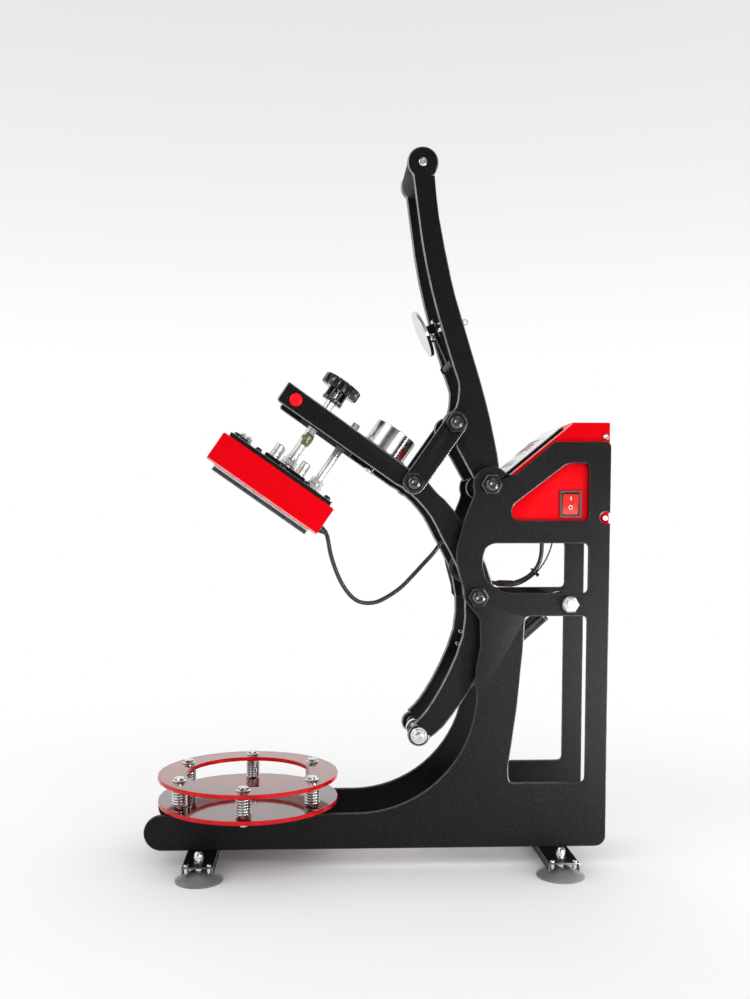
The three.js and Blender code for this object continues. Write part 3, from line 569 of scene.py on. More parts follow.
def fitted(piece: Piece, body: Body, slot: str, *replaced: str, degrees: float = 32) -> Piece:
    """Sets a finished piece on its body.

    Args:
        piece: the piece, in place.
        body: the body it rides on.
        slot: the record's material slot.
        replaced: the CAD nodes that it stands for.
        degrees: angle below which edges are shaded smooth.

    Returns:
        The piece.
    """
    Bench.smooth(piece, degrees)
    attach(piece, body.value)
    if replaced:
        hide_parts(*replaced)
    LOG.info("%s: %d faces on %s", piece.name, len(piece.data.polygons), body.value)
    return piece


# Finishes

NOISE_LOW, NOISE_HIGH = 0.3, 0.7
WHITE = (1, 1, 1, 1)


class Tree:
    """Builds a node tree, each node with its inputs."""

    def __init__(self, tree: bpy.types.NodeTree) -> None:
        """Takes the tree to build in."""
        self.tree = tree

    def add(
        self, kind: str, inputs: dict[int | str, object] | None = None, **settings: object
    ) -> bpy.types.Node:
        """Adds a node.

        Args:
            kind: the node's type.
            inputs: for each socket its value, or the socket that feeds it.
            settings: the node's own properties.

        Returns:
            The node.
        """
        node = self.tree.nodes.new(kind)
        for key, value in settings.items():
            setattr(node, key, value)
        for key, value in (inputs or {}).items():
            self.feed(node.inputs[key], value)
        return node

    def feed(self, socket: Socket, value: object) -> None:
        """Gives a socket its input.

        Args:
            socket: the socket.
            value: its value, or the socket that feeds it.
        """
        if isinstance(value, Socket):
            self.tree.links.new(value, socket)
        else:
            socket.default_value = value

    def ramp(self, value: Socket, *stops: tuple[float, Colour]) -> Socket:
        """Colours a value.

        Args:
            value: the value.
            stops: place and colour of each stop.

        Returns:
            The colour.
        """
        node = self.add("ShaderNodeValToRGB", {"Fac": value})
        elements = node.color_ramp.elements
        while len(elements) < len(stops):
            elements.new(0.5)
        for element, (place, colour) in zip(elements, stops):
            element.position, element.color = place, (*colour, 1)
        return node.outputs["Color"]

    def either(self, *rays: str) -> Socket:
        """Tells whether a ray is of one of several kinds.

        Args:
            rays: outputs of the Light Path node.

        Returns:
            1 where it is, and otherwise 0.
        """
        path = self.add("ShaderNodeLightPath")
        found = path.outputs[rays[0]]
        for ray in rays[1:]:
            pair = {0: found, 1: path.outputs[ray]}
            found = self.add("ShaderNodeMath", pair, operation="MAXIMUM").outputs[0]
        return found


class Nodes(Tree):
    """Builds the node tree of one material."""

    def __init__(self, name: str) -> None:
        """Starts a material with its Principled shader and object coordinates."""
        self.material = bpy.data.materials.new(name)
        self.material.use_nodes = True
        super().__init__(self.material.node_tree)
        self.shader = self.tree.nodes["Principled BSDF"]
        self.place = self.add("ShaderNodeTexCoord").outputs["Object"]

    def noise(self, scale: float, detail: float = 3, stretch: Point = (1, 1, 1)) -> Socket:
        """Noise over the piece.

        Args:
            scale: cells to the metre.
            detail: octaves.
            stretch: scale along each axis.

        Returns:
            The noise's value.
        """
        mapping = self.add("ShaderNodeMapping", {"Scale": stretch, "Vector": self.place})
        cells = {"Scale": scale, "Detail": detail, "Vector": mapping.outputs["Vector"]}
        return self.add("ShaderNodeTexNoise", cells).outputs["Fac"]

    def ranged(self, value: Socket, middle: float, spread: float) -> Socket:
        """Stretches a noise value to a range.

        Args:
            value: the noise.
            middle: the range's middle.
            spread: how far it goes to either side.

        Returns:
            The stretched value.
        """
        low, high = max(0.02, middle - spread), middle + spread
        limits = {"From Min": NOISE_LOW, "From Max": NOISE_HIGH, "To Min": low, "To Max": high}
        return self.add("ShaderNodeMapRange", {**limits, "Value": value}).outputs["Result"]

    def bump(self, value: Socket, strength: float, height: float) -> None:
        """Raises the surface by a value; height is in millimetres."""
        grain = self.add("ShaderNodeBump", {"Strength": strength, "Distance": height * MM, "Height": value})
        self.set(Normal=grain.outputs["Normal"])

    def set(self, **values: object) -> None:
        """Gives the shader its inputs; an underscore in a name stands for a space."""
        for key, value in values.items():
            self.feed(self.shader.inputs[key.replace("_", " ")], value)


@dataclass(frozen=True)
class Finish:
    """A finish: two tones that it varies between, gloss and grain."""

    name: str
    dark: Colour
    light: Colour
    metallic: float = 0.0
    roughness: float = 0.4
    spread: float = 0.06
    mottle: float = 60.0
    stretch: Point = (1, 1, 1)
    grain: float = 1400.0
    relief: float = 0.15
    height: float = 0.1
    coat: float = 0.0
    specular: float = 0.5
    transmission: float = 0.0
    glow: float = 0.0

    def material(self) -> bpy.types.Material:
        """The finish's material, made once."""
        return bpy.data.materials.get(f"{self.name}_finish") or self.made().material

    def made(self) -> Nodes:
        """Makes the material.

        Returns:
            Its nodes.
        """
        nodes = Nodes(f"{self.name}_finish")
        nodes.set(Metallic=self.metallic, Specular_IOR_Level=self.specular, Coat_Weight=self.coat)
        nodes.set(Coat_Roughness=0.08, Transmission_Weight=self.transmission)
        mottle = nodes.noise(self.mottle, 4, self.stretch)
        nodes.set(Base_Color=nodes.ramp(mottle, (NOISE_LOW, self.dark), (NOISE_HIGH, self.light)))
        nodes.set(Roughness=nodes.ranged(mottle, self.roughness, self.spread))
        nodes.bump(nodes.noise(self.grain, 2, self.stretch), self.relief, self.height)
        if self.glow:
            nodes.set(Emission_Color=(*self.light, 1), Emission_Strength=self.glow)
        return nodes


@dataclass(frozen=True)
class PowderCoat(Finish):
    """Powder coat: fine leathery grain with pale specks."""

    mottle: float = 24.0
    grain: float = 1150.0
    relief: float = 0.4
    height: float = 0.14
    specular: float = 0.15
    specks: Colour = (0.09, 0.09, 0.092)

    def made(self) -> Nodes:
        """Makes the coat.

        Returns:
            Its nodes.
        """
        nodes = Nodes(f"{self.name}_finish")
        fine = nodes.noise(self.grain, 3)
        tones = nodes.ramp(fine, (0.35, self.dark), (0.6, self.light), (0.78, self.specks))
        gloss = nodes.ranged(nodes.noise(self.mottle, 4), self.roughness, self.spread)
        nodes.set(Base_Color=tones, Roughness=gloss, Specular_IOR_Level=self.specular)
        nodes.bump(fine, self.relief, self.height)
        return nodes


@dataclass(frozen=True)
class Satin(Finish):
    """Moulded plastic or rubber: a soft skin with a faint sheen."""

    sheen: float = 0.2

    def made(self) -> Nodes:
        """Makes the skin.

        Returns:
            Its nodes.
        """
        nodes = super().made()
        nodes.set(Sheen_Weight=self.sheen)
        return nodes


POWDER = PowderCoat(
    "black_powder_coat", (0.002, 0.002, 0.0022), (0.0045, 0.0045, 0.005), roughness=0.46,
    specks=(0.05, 0.05, 0.052),
)
FRAME = PowderCoat(
    "frame_powder_coat", (0.0025, 0.0025, 0.0028), (0.006, 0.006, 0.0065), roughness=0.44,
    specks=(0.055, 0.055, 0.056),
)
# Darker, duller coat for the spindle block between the arm plates: painted shade, with its reflections damped.
SHADED_INNER = PowderCoat(
    "inner_powder_coat", (0.001, 0.001, 0.0012), (0.003, 0.003, 0.0034), roughness=0.7, relief=0.3,
    specular=0.02, specks=(0.01, 0.01, 0.011),
)
# Lighter metal on the eased edges of plates and bars: a painted highlight line along each edge.
EDGE = Finish("rubbed_edge", (0.2, 0.2, 0.205), (0.38, 0.38, 0.39), 1.0, 0.34, 0.08, 180)
# Dimmer metal on the side plates' eased edges: a painted highlight line.
FRAME_EDGE_HIGHLIGHT = Finish("frame_edge", (0.05, 0.05, 0.052), (0.1, 0.1, 0.104), 1.0, 0.4, 0.06, 180)
SHAFT = Finish(
    "ground_shaft", (0.66, 0.66, 0.65), (0.82, 0.82, 0.8), 0.85, 0.3, 0.05, 150, grain=2600, relief=0.03,
)
STEEL = Finish(
    "bright_steel", (0.62, 0.62, 0.61), (0.84, 0.84, 0.82), 1.0, 0.13, 0.05, 120, grain=2600, relief=0.04,
)
PLATED = Finish(
    "zinc_plate", (0.5, 0.5, 0.48), (0.72, 0.72, 0.69), 0.95, 0.34, 0.08, 150, grain=1700, relief=0.08,
)
BLACK_STEEL = Finish(
    "black_steel", (0.005, 0.005, 0.005), (0.013, 0.013, 0.014), 0.0, 0.2, 0.06, 90, coat=0.2, specular=0.35,
)
# Lighter metal on the cap heads' flange chamfers and socket rims, and on the gas cylinder's bands: painted
# highlight rings.
PIVOT_RIM_HIGHLIGHT = Finish("pivot_rim", (0.15, 0.15, 0.15), (0.3, 0.3, 0.3), 1.0, 0.16, 0.06, 160)
PIVOT_DOME = Finish(
    "pivot_dome", (0.006, 0.006, 0.006), (0.014, 0.014, 0.015), 0.0, 0.09, 0.03, 200, coat=1.0, specular=1.0,
)
RED_PAINT = Finish(
    "red_gloss_paint", (0.65, 0.0002, 0.003), (0.7, 0.0004, 0.006), 0.0, 0.28, 0.05, 18, grain=420,
    relief=0.05, specular=0.03,
)
# Pale pink on the eased edge beside the panel and on the head cover's lower rim: a painted highlight.
RED_LIP_HIGHLIGHT = Finish("red_paint_lip", (0.8, 0.2, 0.2), (0.9, 0.36, 0.35), 0.0, 0.3, 0.05, 90, coat=0.3)
RED_PLUG = Finish(
    "red_plug", (0.9, 0.001, 0.004), (0.96, 0.004, 0.01), 0.0, 0.34, 0.05, 200, relief=0.06, specular=0.15,
)
ACRYLIC = Finish(
    "red_acrylic", (0.22, 0.003, 0.002), (0.3, 0.005, 0.003), 0.0, 0.05, 0.03, 30, relief=0.01, coat=0.6,
    transmission=0.8,
)
# Brighter red with a faint emission on the discs' edges: painted glow of light piped through the acrylic.
ACRYLIC_RIM_GLOW = Finish(
    "red_acrylic_rim", (0.36, 0.001, 0.003), (0.6, 0.003, 0.006), 0.0, 0.2, 0.05, 60, relief=0.03, coat=0.1,
    specular=0.2, glow=0.05,
)
RUBBER = Satin(
    "suction_rubber", (0.22, 0.22, 0.225), (0.32, 0.32, 0.33), 0.0, 0.34, 0.08, 70, transmission=0.4,
)
CASTING = Finish(
    "heater_casting", (0.03, 0.03, 0.031), (0.07, 0.07, 0.072), 0.25, 0.42, 0.08, 220, grain=900, relief=0.25,
)
# Lighter metal on the heating plate's eased edges: a painted highlight line.
CAST_EDGE_HIGHLIGHT = Finish("heater_edge", (0.3, 0.3, 0.3), (0.5, 0.5, 0.5), 0.6, 0.34, 0.08, 160)
SEAM = Finish("heater_seam", (0.74, 0.74, 0.73), (0.9, 0.9, 0.89), 0.2, 0.4, 0.06, 180)
BLACK_PLASTIC = Satin(
    "black_plastic", (0.004, 0.004, 0.0045), (0.01, 0.01, 0.011), 0.0, 0.2, 0.05, 120, grain=1600,
    relief=0.03, coat=0.7, sheen=0.03,
)
GRIP_RUBBER = Satin(
    "grip_rubber", (0.004, 0.004, 0.004), (0.008, 0.008, 0.009), 0.0, 0.5, 0.07, 200, grain=1100,
    relief=0.3, specular=0.2, sheen=0.02,
)
CORD = Satin(
    "cord_black", (0.007, 0.007, 0.0075), (0.02, 0.02, 0.021), 0.0, 0.38, 0.07, 260, grain=1800, relief=0.2,
)
# Pale silver for the panel and the display frame: the panel's own tone made lighter as a painted grazing
# reflection of the pale room; on the display frame it is a painted reflection.
SILVER_AND_PAINTED_REFLECTION = Finish(
    "silver_panel", (0.86, 0.86, 0.87), (0.94, 0.94, 0.95), 0.1, 0.3, 0.05, 300, (1, 14, 1), grain=900,
    relief=0.03,
)
GASKET = Finish(
    "panel_gasket", (0.003, 0.003, 0.003), (0.008, 0.008, 0.008), 0.0, 0.7, 0.08, 120, specular=0.05,
)
KEY_WHITE = Satin("key_white", (0.6, 0.61, 0.62), (0.72, 0.73, 0.74), 0.0, 0.4, 0.05, 200)
LENS = Finish(
    "display_lens", (0.004, 0.004, 0.005), (0.012, 0.012, 0.014), 0.0, 0.06, 0.03, 60, relief=0.01, coat=1.0,
)
DIGIT = Finish("lit_digit", (0.5, 0.03, 0.02), (0.7, 0.06, 0.04), 0.0, 0.2, 0.05, 200, coat=1.0, glow=0.25)
BEZEL = Satin("bezel_grey", (0.028, 0.034, 0.038), (0.05, 0.058, 0.065), 0.0, 0.36, 0.05, 150)
ROCKER_RED = Finish(
    "rocker_red", (0.5, 0.01, 0.005), (0.6, 0.018, 0.009), 0.0, 0.22, 0.05, 120, coat=0.1, specular=0.2,
    glow=0.03,
)
MARK = Finish("white_mark", (0.75, 0.74, 0.72), (0.88, 0.87, 0.85), 0.0, 0.45, 0.05, 400)
GREASE = Finish("thread_grease", (0.05, 0.075, 0.012), (0.2, 0.26, 0.07), 0.0, 0.22, 0.1, 260, coat=0.4)
MAGNET = Finish(
    "magnet_chrome", (0.52, 0.52, 0.5), (0.74, 0.74, 0.71), 1.0, 0.2, 0.04, 90, grain=2600, relief=0.03,
)
NICKEL = Finish("bright_nickel", (0.64, 0.64, 0.63), (0.74, 0.74, 0.72), 0.95, 0.24, 0.05, 40, relief=0.03)
BRASS = Finish("inlet_brass", (0.5, 0.38, 0.16), (0.7, 0.56, 0.26), 1.0, 0.24, 0.06, 200)


# Studio


def greys(*stops: tuple[float, float]) -> list[tuple[float, Colour]]:
    """Ramp stops from (place, tone) each."""
    return [(place, (tone, tone, tone)) for place, tone in stops]


@dataclass(frozen=True)
class Lamp:
    """One soft square lamp; lengths in metres, power in watts, spread in degrees."""

    name: str
    place: Point
    size: float
    power: float
    aim: Point = (0.0, 0.0, 0.4)
    spread: float = 180.0

    def hang(self) -> None:
        """Hangs the lamp, turned to what it lights."""
        data = bpy.data.lights.new(self.name, "AREA")
        data.size, data.energy, data.spread = self.size, self.power, math.radians(self.spread)
        lamp = bpy.data.objects.new(self.name, data)
        lamp.location = self.place
        way = Vector(self.aim) - Vector(self.place)
        lamp.rotation_euler = way.to_track_quat("-Z", "Y").to_euler()
        bpy.context.scene.collection.objects.link(lamp)


@dataclass
class Studio:
    """Pale floor, soft light and the camera at the photograph's angle."""

    camera_place: Point = (-0.0713, -1.2033, 0.4003)
    camera_pitch: float = 86.476
    camera_yaw: float = -2.099
    lens: float = 36.21
    sensor: float = 36.0
    shift: tuple[float, float] = (0.0239, 0.0842)
    clip: tuple[float, float] = (0.05, 60.0)
    floor_radius: float = 14.0
    near: float = 0.3
    far: float = 1.2
    fill: float = 0.97
    backdrop: tuple[tuple[float, float], ...] = ((0.0, 1.0), (0.16, 1.0), (0.3, 0.89), (0.46, 0.79))
    reflected: tuple[tuple[float, float], ...] = (
        (0.0, 1.0), (0.2, 0.95), (0.28, 0.14), (0.4, 0.06), (0.5, 0.4), (0.66, 0.6), (0.78, 0.2), (1.0, 0.15),
    )
    lamps: tuple[Lamp, ...] = (
        Lamp("key", (-1.7, -1.5, 1.9), 1.5, 8.0),
        Lamp("top", (0.3, 0.2, 2.4), 1.8, 2.0),
        Lamp("right", (1.0, -2.1, 0.1), 0.8, 12.0),
        Lamp("low", (0.75, -0.5, 0.02), 0.3, 1.7, (0.25, 0.0, 0.15), 50.0),
    )

    def build(self) -> None:
        """Builds the whole studio."""
        self.camera()
        self.world()
        self.floor()
        for lamp in self.lamps:
            lamp.hang()
        bpy.context.scene.view_settings.view_transform = "Standard"

    def camera(self) -> None:
        """Sets the camera."""
        data = bpy.data.cameras.new("camera")
        data.lens, data.sensor_width = self.lens, self.sensor
        data.shift_x, data.shift_y = self.shift
        data.clip_start, data.clip_end = self.clip
        camera = bpy.data.objects.new("camera", data)
        camera.location = self.camera_place
        camera.rotation_euler = (math.radians(self.camera_pitch), 0, math.radians(self.camera_yaw))
        bpy.context.scene.collection.objects.link(camera)
        bpy.context.scene.camera = camera

    def world(self) -> None:
        """Sets a plain fill light, a pale backdrop, and a darker band that metal reflects."""
        world = bpy.data.worlds.new("studio")
        bpy.context.scene.world = world
        world.use_nodes = True
        tree = Tree(world.node_tree)
        way = tree.add("ShaderNodeSeparateXYZ", {0: tree.add("ShaderNodeTexCoord").outputs["Generated"]})
        pale = tree.ramp(way.outputs["Z"], *greys(*self.backdrop))
        seen = tree.add("ShaderNodeBackground", {"Color": pale})
        across = tree.add("ShaderNodeMapRange", {"From Min": -1, "From Max": 1, "Value": way.outputs["X"]})
        room = tree.ramp(across.outputs["Result"], *greys(*self.reflected))
        limits = {"From Max": 0.5, "Value": way.outputs["Y"]}
        behind = tree.add("ShaderNodeMapRange", limits, interpolation_type="SMOOTHSTEP")
        tones = {"Factor": behind.outputs["Result"], "A": room, "B": WHITE}
        tone = tree.add("ShaderNodeMix", tones, data_type="RGBA")
        shine = tree.add("ShaderNodeBackground", {"Color": tone.outputs["Result"]})
        fill = world.node_tree.nodes["Background"]
        tree.feed(fill.inputs["Color"], WHITE)
        tree.feed(fill.inputs["Strength"], self.fill)
        glossy = tree.add(
            "ShaderNodeMixShader", {0: tree.either("Is Glossy Ray"), 1: fill.outputs[0], 2: shine.outputs[0]}
        )
        direct = tree.either("Is Camera Ray", "Is Transmission Ray")
        mixed = tree.add("ShaderNodeMixShader", {0: direct, 1: glossy.outputs[0], 2: seen.outputs[0]})
        tree.feed(world.node_tree.nodes["World Output"].inputs["Surface"], mixed.outputs[0])

    def floor(self) -> None:
        """Lays a pale floor that keeps the press's shadow and fades into the backdrop far off."""
        Bench.clear()
        bpy.ops.mesh.primitive_circle_add(vertices=96, radius=self.floor_radius, fill_type="NGON")
        floor = bpy.context.object
        floor.name = "floor"
        nodes = Nodes("floor")
        tones = nodes.ramp(nodes.noise(3, 2), *greys((NOISE_LOW, 0.92), (NOISE_HIGH, 0.94)))
        nodes.set(Roughness=0.7, Specular_IOR_Level=0.2, Base_Color=tones)
        nodes.bump(nodes.noise(160, 2), 0.02, 0.2)
        length = nodes.add("ShaderNodeVectorMath", {0: nodes.place}, operation="LENGTH")
        limits = {"From Min": self.near, "From Max": self.far, "Value": length.outputs["Value"]}
        fade = nodes.add("ShaderNodeMapRange", limits, interpolation_type="SMOOTHSTEP")
        direct = nodes.either("Is Camera Ray", "Is Glossy Ray", "Is Transmission Ray")
        share = nodes.add("ShaderNodeMath", {0: direct, 1: fade.outputs["Result"]}, operation="MULTIPLY")
        glow = nodes.add("ShaderNodeEmission", {"Color": WHITE})
        mixed = nodes.add(
            "ShaderNodeMixShader", {0: share.outputs[0], 1: nodes.shader.outputs[0], 2: glow.outputs[0]}
        )
        nodes.feed(nodes.tree.nodes["Material Output"].inputs["Surface"], mixed.outputs[0])
        floor.data.materials.append(nodes.material)
        floor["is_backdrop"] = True


# Sub-assemblies


def plated(
    node: str, body: Body, slot: str, width: float = 0.9, finishes: Sequence[Finish] = (POWDER, EDGE),
    spared: EdgeTest | None = None,
) -> Piece:
    """A CAD plate or block with eased edges; where a second finish is given, it paints a highlight line on them.

    Args:
        node: the CAD node.
        body: its body.
        slot: its material slot.
        width: width of the eased edge, in millimetres.
        finishes: the finish of the faces and, where given, that of the edges' painted highlight.
        spared: says where an edge is rounded less.

    Returns:
        The piece, which stands for the node.
    """
    piece = Bench.copied(node, f"{node}_formed")
    Bench.eased(piece, width, len(finishes) - 1, spared)
    return fitted(painted(piece, *finishes), body, slot, node, degrees=FLAT)


def scattered(
    pattern: Piece, places: Sequence[Matrix], body: Body, finish: Finish = STEEL, slot: str = "bright_steel"
) -> None:
    """Copies a small pattern to several places as one piece.

    Args:
        pattern: the pattern, which is taken away and leaves the piece its name.
        places: where each copy goes.
        body: its body.
        finish: its finish.
        slot: its material slot.
    """
    name = pattern.name
    copies = [Bench.copy(pattern, "copy", place) for place in places]
    Bench.remove(pattern)
    fitted(painted(Bench.joined(copies, name), finish), body, slot)


class Fasteners:
    """Small screws and nuts, foot at the origin and pointing along Z."""

    @staticmethod
    def screw(name: str, radius: float, height: float) -> Piece:
        """A pan head with a hexagon recess.

        Args:
            name: the piece's name.
            radius: radius of the head.
            height: height of the head.

        Returns:
            The piece.
        """
        r, h, recess = radius, height, radius * 0.5
        return Bench.turned(name, [
            (r, 0), (r, h * 0.3), (r * 0.9, h * 0.75), (r * 0.68, h), (recess, h, 6), (recess, h * 0.45, 6),
            (0.2, h * 0.4),
        ], 24)

    @staticmethod
    def nut(name: str, radius: float, height: float, stud: float, dome: float = 0.0) -> Piece:
        """A hexagon nut on a washer with a stud through it.

        Args:
            name: the piece's name.
            radius: reach of the nut's corners.
            height: height of the nut.
            stud: radius of the stud.
            dome: height of a domed cap, if it has one.

        Returns:
            The piece.
        """
        brim = radius * 1.22
        washer = Bench.turned("washer", [(brim, 0), (brim, 0.9), (radius * 1.12, 1.2), (0.5, 1.2)], 32)
        top = height + 1.2
        if dome:
            crown = ((1.5, 0), (1.45, 0.5), (1, 0.85))
            tail = [(stud * wide, top + dome * share) for wide, share in crown]
            tail.append((0.4, top + dome))
        else:
            tail = [(stud, top), (stud, top + 1.6), (stud * 0.8, top + 2.0), (0.3, top + 2.0)]
        body = Bench.turned(name, [
            (radius * 0.92, 1.2), (radius, 1.8, 6), (radius, top - 0.7, 6), (radius * 0.88, top), *tail,
        ], 36)
        return Bench.joined([body, washer], name)


@dataclass
class CapHead:
    """A bolt's head: a hexagon flange with a domed cap and a hexagon socket in it."""

    flange: float = 12.4
    head: float = 7.9
    height: float = 7.4
    socket: float = 3.6

    def pattern(self, name: str) -> Piece:
        """The head with its foot at the origin, pointing along Z.

        Args:
            name: the pattern's name.

        Returns:
            The head: the slots hold its steel, the rim's painted highlight and the dome's finish.
        """
        w, r, h, s = self.flange, self.head, self.height, self.socket
        nut = Bench.turned("flange", [
            (5, 0), (w - 0.6, 0, 6), (w, 0.6, 6), (w, 4.0, 6), (w - 0.6, 4.6, 6), (r + 1.0, 4.7),
            (r + 0.3, 3.8), (5, 3.8),
        ], 60, True)
        dome = Bench.turned(name, [
            (r, 3.6), (r, 4.8), (r * 0.95, h - 1.6), (r * 0.84, h - 0.8), (r * 0.68, h - 0.15),
            (s + 0.8, h, 6), (s, h - 0.9, 6), (s, h - 2.8, 6), (0.4, h - 3.2),
        ], 60)
        for part in (nut, dome):
            painted(part, BLACK_STEEL, PIVOT_RIM_HIGHLIGHT, PIVOT_DOME)
        # The flange's chamfer and the socket's rim take the painted highlight.
        slotted(nut, 1, lambda c, n: 4.1 < c.z < 4.55 and math.hypot(c.x, c.y) > r + 1.4)
        slotted(dome, 2, lambda c, n: True)
        slotted(dome, 1, lambda c, n: abs(c.z - h + 0.45) < 0.3 and math.hypot(c.x, c.y) < s + 0.8)
        return Bench.joined([dome, nut], name)


@dataclass
class Axle:
    """A cross axle with a cap head at each end."""

    name: str
    place: tuple[float, float]
    face: float
    body: Body
    shank: float = 8.0
    collar: float = 13.0
    collar_low: float = 44.4
    collar_high: float = 51.6

    def build(self, head: Piece) -> None:
        """Builds the axle in place.

        Args:
            head: the pattern of its heads.
        """
        s, c, f = self.shank, self.collar, self.face
        low, high = self.collar_low, self.collar_high
        half = [(s, low), (c, low), (c, high), (s, high)] if c else []
        profile = [(s, -f), *[(r, -y) for r, y in reversed(half)], *half, (s, f)]
        rod = Bench.turned("rod", profile, 32)
        painted(rod, BLACK_STEEL, PIVOT_RIM_HIGHLIGHT, PIVOT_DOME)
        rod.data.transform(outward(*self.place, 0, Side.RIGHT))
        heads = [Bench.copy(head, "head", outward(*self.place, f, side)) for side in Side]
        fitted(Bench.joined([rod, *heads], f"{self.name}_turned"), self.body, "black_steel", self.name)


@dataclass
class CrossBolt:
    """A bright bolt across the press with a turned end on each side."""

    name: str
    place: tuple[float, float]
    half: float
    seat: float
    body: Body
    finish: Finish
    radius: float = 5.0

    def build(self, end: Piece) -> None:
        """Builds the bolt in place.

        Args:
            end: the pattern of its ends, which is taken away.
        """
        rod = Bench.turned("rod", [(self.radius, -self.half), (self.radius, self.half)], 24)
        rod.data.transform(outward(*self.place, 0, Side.RIGHT))
        ends = [Bench.copy(end, "end", outward(*self.place, self.seat, side)) for side in Side]
        Bench.remove(end)
        piece = painted(Bench.joined([rod, *ends], f"{self.name}_turned"), self.finish)
        fitted(piece, self.body, "bright_steel", self.name)


